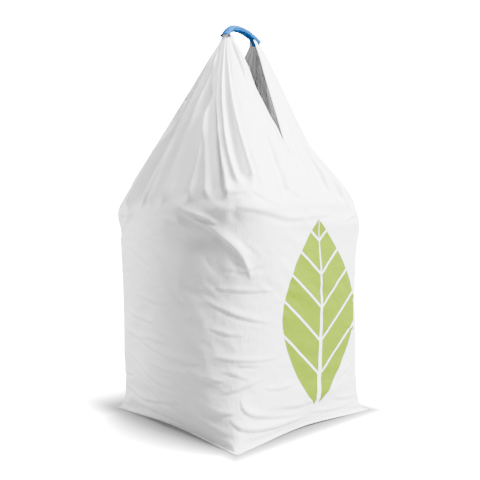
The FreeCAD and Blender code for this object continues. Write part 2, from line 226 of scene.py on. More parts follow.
RIGHT_FOLDS = [
    (0.006, 0.010, 1.200, 1.75, 0.045, 0.055, 0.070),
    (0.016, 0.014, 1.150, 1.55, 0.105, 0.115, 0.125),
    (0.016, 0.011, 1.100, 1.50, 0.165, 0.180, 0.190),
    (0.017, 0.012, 1.070, 1.60, 0.212, 0.220, 0.230),
    (0.014, 0.016, 1.170, 9.0, 0.270, 0.275, 0.285),
    (0.016, 0.020, 1.190, 9.0, 0.365, 0.380, 0.395),
    (0.018, 0.022, 1.200, 9.0, 0.470, 0.475, 0.480),
    (0.016, 0.020, 1.190, 9.0, 0.575, 0.570, 0.560),
    (0.016, 0.018, 1.200, 9.0, 0.660, 0.655, 0.650),
    (0.012, 0.018, 1.220, 9.0, 0.745, 0.735, 0.725),
    (0.012, 0.020, 1.250, 9.0, 0.830, 0.825, 0.810),
    (0.008, 0.016, 1.300, 9.0, 0.905, 0.900, 0.890),
]


def outward(points):
    """Level unit vectors that point out of the section, from its run along the columns."""
    run = np.gradient(points, axis=1)
    out = np.stack([run[..., 1], -run[..., 0], np.zeros(run.shape[:2])], -1)
    out /= np.linalg.norm(out, axis=-1, keepdims=True) + 1e-12
    return out * (np.sign((out * points).sum(-1).mean()) or 1.0)


def fold_depth(folds, heights, u):
    """How far the folds push the tent's fabric in (negative) or out, by row and column."""
    z = heights[:, None]
    total = np.zeros((len(heights), u.shape[-1]))
    # A fold gets shallower as the fabric is gathered towards the neck.
    gather = np.clip((SLEEVE_FOOT + 0.05 - z) / 0.55, 0.10, 1.0) ** 0.8
    t = (z - 1.5) / 0.3
    for depth, width, foot, fade, low, mid, high in folds:
        rise = np.clip((z - foot) / 0.075, 0, 1)
        ends = np.clip((fade - z) / 0.16, 0, 1)
        opened = np.sqrt(np.clip((z - foot) / 0.045, 0, 1))
        middle = mid + (high - low) / 2 * t + ((high + low) / 2 - mid) * t * t
        d = (u - middle) / (width * (0.30 + 0.70 * opened))
        valley = -np.exp(-np.abs(d) ** 3.0)
        ridges = 0.55 * np.exp(-((np.abs(d) - 1.45) / 0.48) ** 2)
        depth = depth * gather * rise * rise * (3 - 2 * rise) * ends * ends * (3 - 2 * ends)
        total += depth * (valley + ridges)
    return total


def smooth_noise(shape, cells, seed):
    """Even random bumps from -1 to 1 with that many cells along each side, eased between them."""
    rng = np.random.default_rng(seed)
    coarse = rng.uniform(-1, 1, (cells[0] + 3, cells[1] + 3))

    def ease(values, count, axis):
        at = np.linspace(0, values.shape[axis] - 3.001, count)
        i, f = at.astype(int), at % 1
        v = [np.take(values, i + k, axis=axis) for k in range(3)]
        f = f[:, None] if axis == 0 else f[None, :]
        return v[0] * 0.5 * (1 - f) ** 2 + v[1] * (0.5 + f - f * f) + v[2] * 0.5 * f * f

    out = ease(ease(coarse, shape[0], 0), shape[1], 1)
    return out / np.abs(out).max()


# Soft dents (negative) and swellings: metres across from the middle of the front, metres up, half width,
# half height and depth.
DENTS = [
    (-0.76, 0.955, 0.260, 0.075, -0.033),
    (-0.66, 1.090, 0.440, 0.032, 0.010),
    (-1.38, 1.085, 0.130, 0.052, 0.011),
    (-1.38, 0.975, 0.150, 0.036, -0.008),
    (-0.46, 0.890, 0.100, 0.110, 0.010),
    (-1.36, 0.600, 0.080, 0.200, 0.004),
    (0.10, 1.120, 0.300, 0.026, 0.006),
    (0.42, 1.000, 0.060, 0.060, 0.006),
    (0.42, 0.560, 0.050, 0.070, -0.006),
    (0.90, 1.060, 0.300, 0.040, 0.009),
    (1.45, 1.060, 0.260, 0.040, 0.009),
    (-0.92, 0.300, 0.400, 0.060, 0.007),
    (-0.92, 0.120, 0.380, 0.040, -0.007),
    (0.00, 0.110, 0.360, 0.035, -0.006),
]


def bottom_lift(u):
    """Between its pulled-out corners the bottom edge stands a little off the floor."""
    to_corner = np.minimum(np.abs(u - CORNER_AT[0]), np.abs(u - CORNER_AT[1]))
    return 0.0150 * np.sin(np.clip((to_corner - 0.015) / 0.235, 0, 1) * math.pi / 2) ** 1.5


def base_half(side, heights, u):
    """The half before its cloth simulation: section, folds, dents and a little unevenness."""
    points = half_section(side, heights, u[None, :])
    out = outward(points)
    lift = fold_depth((LEFT_FOLDS, RIGHT_FOLDS)[side], heights, u[None, :])
    z = heights[:, None]
    fade = np.clip(z / 0.15, 0, 1) * np.clip((NECK_TOP - z) / 0.3, 0, 1)
    edge = np.clip(np.minimum(u, 1 - u)[None, :] / 0.06, 0, 1)
    lift += fade * edge * 0.005 * smooth_noise(lift.shape, (14, 12), 11 + side)
    lift += fade * edge * 0.0025 * smooth_noise(lift.shape, (40, 30), 23 + side)
    if side == LEFT:
        # The strip beside the front slit lies folded over its neighbour, up to the loop.
        step = 1 / (1 + np.exp(np.clip((u[None, :] - 0.082) / 0.0028, -30, 30)))
        lift += 0.017 * step * smooth((z - 1.70) / 0.12) * np.clip((SLEEVE_FOOT + 0.03 - z) / 0.08, 0, 1)
    # Fine pleats where the fabric is gathered.
    gathered = np.clip((z - 1.60) / 0.28, 0, 1) ** 1.5 * edge ** 0.5
    lift += gathered * (0.0042, 0.0026)[side] * smooth_noise(lift.shape, (3, 46), 37 + side)
    across = SIDE_SIGN[side] * u[None, :] * GIRTH / 2
    for x, up, half_width, half_height, depth in DENTS:
        lift += depth * np.exp(-((across - x) / half_width) ** 4 - ((z - up) / half_height) ** 2)
    points = points + out * lift[..., None]
    points[..., 2] += bottom_lift(u)[None, :] * np.exp(-z / 0.04) + 0.003 * np.exp(-z / 0.01)
    return points


# ---- meshes from the grids ----
def unit(vectors):
    """The vectors, each along the last axis, at length 1."""
    return vectors / np.linalg.norm(vectors, axis=-1, keepdims=True)


def linked_mesh(name, verts, faces, corner_uv):
    """A smooth mesh object in the scene, with metres as its fabric coordinates."""
    mesh = bpy.data.meshes.new(name)
    mesh.from_pydata(verts, [], faces)
    layer = mesh.uv_layers.new(name="fabric")
    layer.data.foreach_set("uv", np.array(corner_uv, np.float32).ravel())
    mesh.polygons.foreach_set("use_smooth", [True] * len(faces))
    mesh.update()
    thing = bpy.data.objects.new(name, mesh)
    bpy.context.scene.collection.objects.link(thing)
    return thing


def grid_mesh(name, halves, heights, low, high):
    """A mesh of the rows from low to high of both halves, joined along the slits' line below their foot."""
    rows = [j for j, z in enumerate(heights) if low - 1e-6 <= z <= high + 1e-6]
    last = halves[LEFT].shape[1] - 1
    index, verts, faces, corner_uv = {}, [], [], []
    for side in (LEFT, RIGHT):
        for j in rows:
            for i in range(last + 1):
                if side == RIGHT and heights[j] <= SLIT_FOOT + 1e-6 and i in (0, last):
                    index[side, j, i] = index[LEFT, j, i]
                    continue
                index[side, j, i] = len(verts)
                verts.append(tuple(halves[side][j, i]))
    for side in (LEFT, RIGHT):
        for j, k in zip(rows, rows[1:]):
            for i in range(last):
                quad = [(j, i), (j, i + 1), (k, i + 1), (k, i)]
                if side == LEFT:
                    quad.reverse()
                faces.append([index[side, a, b] for a, b in quad])
                corner_uv += [(SIDE_SIGN[side] * b / last * (GIRTH / 2), heights[a]) for a, b in quad]
    return linked_mesh(name, verts, faces, corner_uv), index


class Builder:
    """Collects closed surfaces into one mesh, with metres as its fabric coordinates."""

    def __init__(self):
        self.verts, self.faces, self.uvs, self.slots = [], [], [], []

    def grid(self, points, uv=None, slot=0, along=False):
        """Adds a grid of points that closes round on itself across its columns, and can along its rows."""
        n, m = points.shape[:2]
        base = len(self.verts)
        self.verts += [tuple(p) for p in points.reshape(-1, 3)]
        if uv is None:
            uv = points[..., [0, 2]]
        for j in range(n if along else n - 1):
            for i in range(m):
                ring = [(j, i), (j, (i + 1) % m), ((j + 1) % n, (i + 1) % m), ((j + 1) % n, i)]
                self.add_face([base + a * m + b for a, b in ring], [tuple(uv[a, b]) for a, b in ring], slot)
        return base

    def add_face(self, ring, uv=None, slot=0):
        self.faces.append(list(ring))
        self.uvs += uv or [(0.0, 0.0)] * len(ring)
        self.slots.append(slot)

    def tube(self, rings, uv=None, slot=0):
        """Adds closed rings in a row, with both ends capped."""
        n, m = rings.shape[:2]
        base = self.grid(rings, uv, slot)
        self.add_face(range(base, base + m), slot=slot)
        self.add_face(range(base + (n - 1) * m, base + n * m), slot=slot)

    def shell(self, outside, inside, uv=None):
        """Adds a closed tube with a hollow inside it, between two grids of rings."""
        if uv is not None:
            uv = np.concatenate([uv, uv[::-1]])
        self.grid(np.concatenate([outside, inside[::-1]]), uv, along=True)

    def sheet(self, front, back, uv):
        """Adds a closed sheet between two grids of the same size."""
        rings = np.concatenate([front, back[:, ::-1]], axis=1)
        n, m = rings.shape[:2]
        base = self.grid(rings, np.concatenate([uv, uv[:, ::-1]], axis=1))
        for start in (base, base + (n - 1) * m):
            for i in range(m // 2 - 1):
                self.add_face([start + i, start + i + 1, start + m - 2 - i, start + m - 1 - i])

    def stitch(self, a, b, normal, radius, slot=0):
        """Adds one short thread from a to b, arched a little away from the fabric."""
        a, b, normal = np.asarray(a), np.asarray(b), np.asarray(normal)
        beside = np.cross((b - a) / np.linalg.norm(b - a), normal)
        turn = np.arange(6)[:, None] * math.pi / 3
        rings = []
        for t in (0.0, 0.12, 0.5, 0.88, 1.0):
            size = radius * (0.35 if t in (0.0, 1.0) else 1.0)
            centre = a + (b - a) * t + normal * radius * (1.3 * math.sin(t * math.pi) - 0.5)
            rings.append(centre + size * (beside * np.cos(turn) + normal * np.sin(turn)))
        self.tube(np.array(rings), slot=slot)

    def build(self, name, *materials):
        thing = linked_mesh(name, self.verts, self.faces, self.uvs)
        mesh = thing.data
        mesh.polygons.foreach_set("material_index", self.slots)
        bm = bmesh.new()
        bm.from_mesh(mesh)
        bmesh.ops.recalc_face_normals(bm, faces=bm.faces)
        bm.to_mesh(mesh)
        bm.free()
        for material in materials:
            mesh.materials.append(material)
        return thing


# ---- cloth simulation ----
def heap_rings(inset, ends, low):
    """Closed rings of the contents' outside, from the floor up and over the heap. Each end is a share of
    the last ring, a height, and how round the ring has become there."""
    heights = rows_of(low, 1.19, 0.03)
    u = np.linspace(0, 1, 61)
    inset = inset + 0.045 * smooth((heights - 1.04) / 0.14)[:, None]
    rings = np.concatenate([half_section(LEFT, heights, u[None, :], inset),
                            half_section(RIGHT, heights, u[None, ::-1], inset)[:, 1:-1]], axis=1)
    last = rings[-1, :, :2]
    top = []
    for share, z, roundness in ends:
        flat = last * share * (1 - roundness) + unit(last) * share * 0.44 * roundness
        top.append(np.concatenate([flat, np.full((len(flat), 1), z)], axis=1))
    return np.concatenate([rings, top])


FORM_ENDS = [(0.93, 1.212, 0.0), (0.80, 1.235, 0.1), (0.55, 1.250, 0.3), (0.25, 1.256, 0.6),
             (0.02, 1.258, 1.0)]
SPARE = 0.017                                   # spare length of the wall's fabric, as a share
MOST_MOVED = 0.022                              # cap on how far the simulation moves a point


def simulate(halves, heights, frames=16):
    """Lets the tube's fabric settle on the contents by cloth simulation, held at the floor and the necks.
    Only the wall has spare length, which makes its wrinkles; the tent hangs taut from the loop."""
    form = Builder()
    form.tube(heap_rings(0.006, FORM_ENDS, low=0.0))
    form = form.build("fill_form")
    form.modifiers.new("collision", "COLLISION")
    form.collision.thickness_outer = 0.002
    form.collision.cloth_friction = 12
    cloth, index = grid_mesh("cloth", halves, heights, 0.0, heights[-1])
    count = len(cloth.data.vertices)
    co = np.zeros(count * 3)
    cloth.data.vertices.foreach_get("co", co)
    co = co.reshape(-1, 3)
    row = np.zeros(count, int)
    for (_, j, _), v in index.items():
        row[v] = j
    held = cloth.vertex_groups.new(name="held")
    spare = cloth.vertex_groups.new(name="spare")
    for v in range(count):
        z = float(heights[row[v]])
        held.add([v], 1.0 if row[v] == 0 or z > NECK_FOOT - 0.02 else 0.0, "REPLACE")
        spare.add([v], min(1.0, max(0.0, (1.08 - z) / 0.14)), "REPLACE")
    mod = cloth.modifiers.new("cloth", "CLOTH")
    s = mod.settings
    s.quality = 5
    s.mass = 0.25
    s.tension_stiffness, s.compression_stiffness = 60, 40
    s.shear_stiffness, s.bending_stiffness = 20, 3.0
    s.tension_damping = s.compression_damping = s.shear_damping = 10
    s.bending_damping = 0.5
    s.air_damping = 4
    s.vertex_group_mass = "held"
    s.vertex_group_shrink = "spare"
    s.shrink_min, s.shrink_max = 0.0, -SPARE
    s.effector_weights.gravity = 0.03
    c = mod.collision_settings
    c.distance_min = 0.003
    c.collision_quality = 3
    mod.point_cache.frame_start, mod.point_cache.frame_end = 1, frames
    scene = bpy.context.scene
    for f in range(1, frames + 1):
        scene.frame_set(f)
    deps = bpy.context.evaluated_depsgraph_get()
    settled = cloth.evaluated_get(deps).to_mesh()
    out = np.zeros(count * 3)
    settled.vertices.foreach_get("co", out)
    moved = out.reshape(-1, 3) - co
    far = np.linalg.norm(moved, axis=1, keepdims=True)
    # On the shoulder the fabric is taut, and only follows the simulation a little.
    taut = 1 - 0.7 * smooth((heights[row] - 1.02) / 0.08) * smooth((1.34 - heights[row]) / 0.10)
    out = co + moved * (taut[:, None] * MOST_MOVED * np.tanh(far / MOST_MOVED) / (far + 1e-9))
    scene.frame_set(1)
    result = []
    for side in (LEFT, RIGHT):
        shape = halves[side].shape[:2]
        result.append(np.array([[out[index[side, j, i]] for i in range(shape[1])] for j in range(shape[0])]))
    bpy.data.objects.remove(cloth)
    bpy.data.objects.remove(form)
    return result


# ---- finer grid and sculpted creases ----
def finer(values, axis):
    """Twice as many steps along an axis, through the same points, by Catmull-Rom curves."""
    v = np.moveaxis(values, axis, 0)
    ends = np.concatenate([2 * v[:1] - v[1:2], v, 2 * v[-1:] - v[-2:-1]])
    middle = (9 * (ends[1:-2] + ends[2:-1]) - ends[:-3] - ends[3:]) / 16
    out = np.empty((2 * len(v) - 1, *v.shape[1:]))
    out[0::2], out[1::2] = v, middle
    return np.moveaxis(out, 0, axis)


def level_row(points, heights, level, reach=9):
    """Brings the row of that height back to it, and eases its neighbours along."""
    at = int(np.argmin(np.abs(heights - level)))
    lift = level - points[at, :, 2]
    for j in range(max(0, at - reach), min(len(points), at + reach + 1)):
        points[j, :, 2] += lift * math.cos((j - at) / (reach + 1) * math.pi / 2) ** 2


# A crease is a line of places on the fabric, then its width and depth. Places are metres across from the
# middle of the front (left is negative) and metres up. The fabric stands proud above it and dips below it.
CREASES = [
    ([(-0.88, 1.095), (-0.61, 1.005), (-0.43, 0.905), (-0.36, 0.770)], 0.018, 0.016),
    ([(-0.86, 1.100), (-0.72, 1.065), (-0.56, 1.020)], 0.011, 0.012),
    ([(-0.98, 1.045), (-0.86, 1.020), (-0.73, 0.970)], 0.012, 0.011),
    ([(-0.60, 0.725), (-0.40, 0.712), (-0.20, 0.710)], 0.010, 0.005),
    ([(-0.65, 0.660), (-0.45, 0.600), (-0.23, 0.555)], 0.012, 0.006),
    ([(-0.65, 0.540), (-0.52, 0.515), (-0.40, 0.505)], 0.010, 0.004),
    ([(-1.34, 0.450), (-1.00, 0.360), (-0.67, 0.365)], 0.014, 0.008),
    ([(-1.34, 0.340), (-1.02, 0.205), (-0.79, 0.220)], 0.013, 0.008),
    ([(-0.96, 0.265), (-0.86, 0.235), (-0.77, 0.225)], 0.009, 0.005),
    ([(-0.61, 0.405), (-0.40, 0.392), (-0.18, 0.385)], 0.009, 0.006),
    ([(-0.48, 0.380), (-0.38, 0.368), (-0.28, 0.365)], 0.008, 0.005),
    ([(-0.57, 0.345), (-0.46, 0.330), (-0.36, 0.300)], 0.009, 0.004),
    ([(-0.43, 0.225), (-0.42, 0.165), (-0.24, 0.110), (-0.03, 0.080)], 0.011, 0.007),
    ([(-0.51, 0.135), (-0.44, 0.095), (-0.23, 0.055), (0.03, 0.055)], 0.012, 0.008),
    ([(-1.31, 0.070), (-0.98, 0.040), (-0.63, 0.035)], 0.010, 0.006),
    ([(-1.33, 0.130), (-1.14, 0.090), (-0.81, 0.155)], 0.012, 0.009),
    ([(-1.20, 0.200), (-0.98, 0.120), (-0.70, 0.090)], 0.012, 0.007),
    ([(-1.37, 0.745), (-1.32, 0.730), (-1.25, 0.700)], 0.010, 0.004),
    ([(-1.34, 0.560), (-1.18, 0.520), (-1.04, 0.515)], 0.012, 0.004),
    ([(-1.32, 0.900), (-1.20, 0.860), (-1.08, 0.800)], 0.014, 0.004),
    ([(-0.90, 0.150), (-0.70, 0.105), (-0.50, 0.060)], 0.011, 0.008),
    ([(-0.72, 0.180), (-0.58, 0.150), (-0.46, 0.160)], 0.010, 0.006),
    ([(-1.10, 0.300), (-0.92, 0.290), (-0.74, 0.305)], 0.010, 0.005),
    ([(-0.80, 0.330), (-0.66, 0.300), (-0.52, 0.295)], 0.009, 0.005),
    ([(-1.22, 0.420), (-1.08, 0.430), (-0.94, 0.420)], 0.010, 0.004),
    ([(-0.30, 0.260), (-0.18, 0.235), (-0.06, 0.245)], 0.010, 0.005),
    ([(-0.56, 0.240), (-0.44, 0.262), (-0.30, 0.300)], 0.010, 0.005),
    ([(-0.20, 0.150), (-0.04, 0.125), (0.14, 0.130)], 0.010, 0.005),
    ([(-0.42, 0.045), (-0.30, 0.030), (-0.12, 0.028)], 0.009, 0.005),
    ([(0.02, 0.075), (0.20, 0.050), (0.40, 0.045)], 0.009, 0.005),
    ([(-1.20, 0.640), (-1.05, 0.620), (-0.90, 0.625)], 0.012, 0.003),
    ([(-0.55, 0.820), (-0.42, 0.810), (-0.28, 0.830)], 0.012, 0.004),
    ([(0.25, 0.200), (0.36, 0.250), (0.44, 0.320)], 0.012, 0.005),
    ([(0.20, 0.115), (0.30, 0.095), (0.42, 0.085)], 0.010, 0.005),
    ([(0.30, 1.020), (0.36, 1.050), (0.42, 1.055)], 0.011, 0.005),
    ([(0.38, 0.640), (0.42, 0.610), (0.46, 0.600)], 0.010, 0.004),
    ([(0.34, 0.470), (0.40, 0.450), (0.46, 0.460)], 0.010, 0.004),
    ([(-0.36, 1.175), (-0.28, 1.150), (-0.14, 1.090)], 0.014, 0.003),
    ([(-0.62, 1.190), (-0.46, 1.165), (-0.37, 1.175)], 0.012, 0.0025),
    ([(-0.12, 1.205), (-0.02, 1.150), (0.06, 1.140)], 0.012, 0.004),
    ([(-0.45, 1.100), (-0.26, 1.085), (-0.13, 1.045), (0.02, 1.055), (0.20, 1.065)], 0.020, 0.007),
]


def scattered_creases(count, low, high, seed):
    """Small creases with no pattern on the back and the right, mostly level and mostly low down."""
    rng = np.random.default_rng(seed)
    made = []
    for _ in range(count):
        across, up = rng.uniform(low, high), 0.03 + 1.05 * rng.uniform(0, 1) ** 1.5
        length, tilt, sag = rng.uniform(0.12, 0.45), rng.normal(0, 0.14), rng.normal(0, 0.012)
        line = [(across - length / 2, up - tilt * length / 2), (across, up + sag),
                (across + length / 2, up + tilt * length / 2)]
        made.append((line, rng.uniform(0.009, 0.014), rng.uniform(0.003, 0.008)))
    return made


def crease_lift(creases, across, up):
    """How far the creases lift or press the fabric at each place."""
    total = np.zeros(across.shape)
    for line, width, depth in creases:
        line = np.array(line)
        at = np.linspace(0, len(line) - 1, 13)
        curve = np.stack([np.interp(at, np.arange(len(line)), line[:, k]) for k in (0, 1)], 1)
        for _ in range(3):
            curve[1:-1] = (curve[:-2] + 2 * curve[1:-1] + curve[2:]) / 4
        near = ((across > curve[:, 0].min() - 0.08) & (across < curve[:, 0].max() + 0.08)
                & (up > curve[:, 1].min() - 0.08) & (up < curve[:, 1].max() + 0.08))
        x, y = across[near], up[near]
        closest, beside, share = np.full(x.shape, 9.0), np.zeros(x.shape), np.zeros(x.shape)
        for k, ((x0, y0), (x1, y1)) in enumerate(zip(curve, curve[1:])):
            dx, dy = x1 - x0, y1 - y0
            t = np.clip(((x - x0) * dx + (y - y0) * dy) / (dx * dx + dy * dy), 0, 1)
            off_x, off_y = x - x0 - t * dx, y - y0 - t * dy
            distance = np.hypot(off_x, off_y)
            nearer = distance < closest
            closest = np.where(nearer, distance, closest)
            beside = np.where(nearer, np.sign(dx * off_y - dy * off_x) * distance, beside)
            share = np.where(nearer, (k + t) / 12, share)
        taper = np.clip(share * (1 - share) * 4, 0, 1) ** 0.7
        d = beside / (width * (0.5 + 0.5 * taper))
        proud = np.where(d > 0, np.exp(-(d / 2.0) ** 2), np.exp(-(d / 0.5) ** 2))
        total[near] += 1.25 * depth * taper * (proud - 0.55 * np.exp(-((d + 1.1) / 0.7) ** 2))
    # The two back corners and the front right one are drawn taut over the contents.
    return total * (1 - 0.75 * np.exp(-((np.abs(across) - 3 * HALF_WIDTH) / 0.05) ** 2)
                    - 0.6 * np.exp(-((across - HALF_WIDTH) / 0.04) ** 2))


# Where the fabric is gathered it is also tucked inwards in narrow pleats: place, depth and foot of each.
LEFT_TUCKS = [(0.690, 0.070, 1.40), (0.745, 0.060, 1.37), (0.792, 0.080, 1.35), (0.850, 0.065, 1.38),
              (0.892, 0.075, 1.42)]
RIGHT_TUCKS = [(0.330, 0.055, 1.42), (0.410, 0.070, 1.36), (0.492, 0.060, 1.39), (0.560, 0.080, 1.35),
               (0.640, 0.065, 1.40), (0.715, 0.075, 1.36), (0.770, 0.060, 1.38), (0.835, 0.080, 1.35),
               (0.890, 0.065, 1.41)]


def tuck_in(points, tucks, heights, u):
    """Pushes narrow pleats towards the middle of the tent; they get shallower towards the neck."""
    z = heights[:, None]
    middle = points * [1, 1, 0]
    inward = -middle / (np.linalg.norm(middle, axis=-1, keepdims=True) + 1e-9)
    size = np.clip((2.02 - z) / 0.45, 0.0, 1.0)
    for place, depth, foot in tucks:
        sharp = np.clip(1 - np.abs(u[None, :] - place) / 0.011, 0, 1)
        points = points + inward * (depth * size * smooth((z - foot) / 0.20) * sharp)[..., None]
    return points


def finished_half(side, points, heights, u):
    """The half after its simulation, made finer and with its small creases."""
    level_row(points, heights, WALL_TOP)
    for axis in (0, 1):
        points = finer(points, axis)
    heights, u = finer(heights, 0), finer(u, 0)
    across, up = np.meshgrid(SIDE_SIGN[side] * u * GIRTH / 2, heights)
    lift = crease_lift(CREASES + MORE_CREASES, across, up)
    lift += 0.0011 * smooth_noise(lift.shape, (110, 60), 61 + side)
    held = np.clip(heights / 0.03, 0, 1) * np.clip((WALL_TOP - 0.01 - heights) / 0.05, 0, 1)
    edge = np.clip(np.minimum(u, 1 - u) / 0.01, 0, 1)
    points = points + outward(points) * (lift * held[:, None] * edge[None, :])[..., None]
    points = tuck_in(points, (LEFT_TUCKS, RIGHT_TUCKS)[side], heights, u)
    x, y = points[..., 0], points[..., 1]
    half_width, low, high = FLAT_BACK
    flat = np.clip((half_width - np.abs(x)) / 0.05, 0, 1) * np.clip((up - low) / 0.05, 0, 1)
    flat *= np.clip((high - up) / 0.05, 0, 1)
    points[..., 1] = y - np.clip(y - BACK_PLANE, 0, None) * (y > 0) * flat
    return points, heights, u


# ---- the woven tube ----
MORE_CREASES = (scattered_creases(16, 0.50, 1.40, seed=5) + scattered_creases(18, 1.30, 1.84, seed=8)
                + scattered_creases(12, -1.84, -1.35, seed=9))
heights, u = heights_of_rows(), np.linspace(0, 1, HALF_COLUMNS + 1)
halves = [base_half(side, heights, u) for side in (LEFT, RIGHT)]
halves = simulate(halves, heights)
finished = [finished_half(side, halves[side], heights, u) for side in (LEFT, RIGHT)]
halves = [f[0] for f in finished]
_, HEIGHTS, U = finished[0]


def shared_normals(pieces):
    """Gives pieces that were cut from one grid the same normals along the cut, so no line shows there."""
    total = {}
    for thing in pieces:
        for v in thing.data.vertices:
            key = tuple(round(c, 5) for c in v.co)
            total[key] = total.get(key, Vector((0, 0, 0))) + v.normal
    for thing in pieces:
        mesh = thing.data
        normals = [total[tuple(round(c, 5) for c in v.co)].normalized() for v in mesh.vertices]
        mesh.normals_split_custom_set_from_vertices(normals)


wall, _ = grid_mesh("bag_wall", halves, HEIGHTS, 0.0, WALL_TOP)
tent, _ = grid_mesh("bag_tent", halves, HEIGHTS, WALL_TOP, NECK_FOOT)
necks, _ = grid_mesh("bag_necks", halves, HEIGHTS, NECK_FOOT, HEIGHTS[-1])
shared_normals([wall, tent, necks])


# ---- materials ----
class Value:
    """A number that a material's node gives. Arithmetic on it adds Math nodes to the material."""

    def __init__(self, nodes, socket):
        self.nodes, self.socket = nodes, socket

    def step(self, operation, other=None, clamp=False):
        return self.nodes.math(operation, self, other, clamp)

    def step_from(self, operation, other):
        return self.nodes.math(operation, other, self)

    __add__ = partialmethod(step, "ADD")
    __sub__ = partialmethod(step, "SUBTRACT")
    __mul__ = partialmethod(step, "MULTIPLY")
    __truediv__ = partialmethod(step, "DIVIDE")
    __gt__ = partialmethod(step, "GREATER_THAN")
    __lt__ = partialmethod(step, "LESS_THAN")
    __abs__ = partialmethod(step, "ABSOLUTE")
    __rsub__ = partialmethod(step_from, "SUBTRACT")


class Nodes:
    """Short calls for building one material's nodes."""

    def __init__(self, name):
        self.material = bpy.data.materials.new(name)
        self.material.use_nodes = True
        self.tree = self.material.node_tree
        self.shader = self.tree.nodes["Principled BSDF"]

    def feed(self, socket, value):
        """Gives a socket a number, a colour or the output of another node."""
        if isinstance(value, Value):
            self.tree.links.new(value.socket, socket)
        elif isinstance(value, bpy.types.NodeSocket):
            self.tree.links.new(value, socket)
        else:
            socket.default_value = (*value, 1) if isinstance(value, tuple) else value

    def add(self, kind, inputs=None, **settings):
        node = self.tree.nodes.new("ShaderNode" + kind)
        for key, value in settings.items():
            setattr(node, key, value)
        for key, value in (inputs or {}).items():
            self.feed(node.inputs[key], value)
        return node

    def math(self, operation, a, b=None, clamp=False):
        inputs = {0: a} if b is None else {0: a, 1: b}
        return Value(self, self.add("Math", inputs, operation=operation, use_clamp=clamp).outputs[0])

    def split(self, vector):
        """A vector's first two parts."""
        parts = self.add("SeparateXYZ", {0: vector}).outputs
        return Value(self, parts[0]), Value(self, parts[1])

    def joined(self, x, y):
        return self.add("CombineXYZ", {0: x, 1: y}).outputs[0]

    def fabric_place(self):
        """Metres across and metres up on the flat fabric."""
        return self.split(self.add("UVMap", uv_map="fabric").outputs[0])

    def place(self):
        return self.add("TexCoord").outputs["Object"]

    def noise(self, vector, scale, detail=3.0, rough=0.5, distortion=0.0, **settings):
        inputs = {"Vector": vector, "Scale": scale, "Detail": detail, "Roughness": rough,
                  "Distortion": distortion}
        return Value(self, self.add("TexNoise", inputs, **settings).outputs[0])

    def between(self, value, low, high):
        return Value(self, self.add("MapRange", {0: value, "To Min": low, "To Max": high}).outputs[0])

    def mix(self, share, a, b):
        return self.add("Mix", {0: share, 6: a, 7: b}, data_type="RGBA").outputs[2]

    def bump(self, height, distance, strength=1.0, under=None):
        inputs = {"Height": height, "Distance": distance, "Strength": strength}
        if under is not None:
            inputs["Normal"] = under
        return self.add("Bump", inputs).outputs[0]

    def finish(self, colour, roughness, normal=None, **constants):
        inputs = {"Base Color": colour, "Roughness": roughness, "Normal": normal, **constants}
        for key, value in inputs.items():
            if value is not None:
                self.feed(self.shader.inputs[key.replace("_", " ")], value)
        return self.material


def tinted(colour, share):
    return tuple(c * share for c in colour)


TAPE = 0.0032                                   # width of one woven tape
RIB_PITCH = 0.0105                              # from one faint rib along the warp to the next
FABRIC_DARK, FABRIC_LIGHT = (0.80, 0.806, 0.82), (0.93, 0.93, 0.93)
FABRIC_SHINE, FABRIC_SHEEN = 0.45, 0.12
LIME = (0.122, 0.200, 0.0)
INK_SHINE = 0.06


def weave_height(x, y):
    """Plain weave: at each crossing one tape lies over the other."""
    warp, weft = [(v * (math.pi / TAPE)).step("SINE") for v in (x, y)]
    over = warp * weft > 0.0
    return abs(warp) * over + abs(weft) * (1.0 - over)


def leaf_mask(x, y):
    """1 on a plain tall leaf, 0 off it and along its white veins."""
    middle, foot, tip, half_width = 0.125, 0.075, 1.045, 0.285
    bow, rib, vein_slope, vein_pitch, vein = 0.035, 0.0075, 0.85, 0.170, 0.040
    t = (y - (foot + tip) / 2) / ((tip - foot) / 2)
    square = t * t
    side = abs(x - middle + square * bow)
    inside = (1.0 - square.step("POWER", 0.85)) * half_width > side
    off_rib = side > (1.1 - t) * rib
    off_vein = abs(((y - side * vein_slope) / vein_pitch).step("FRACT") - 0.5) > vein
    return inside * off_rib * off_vein


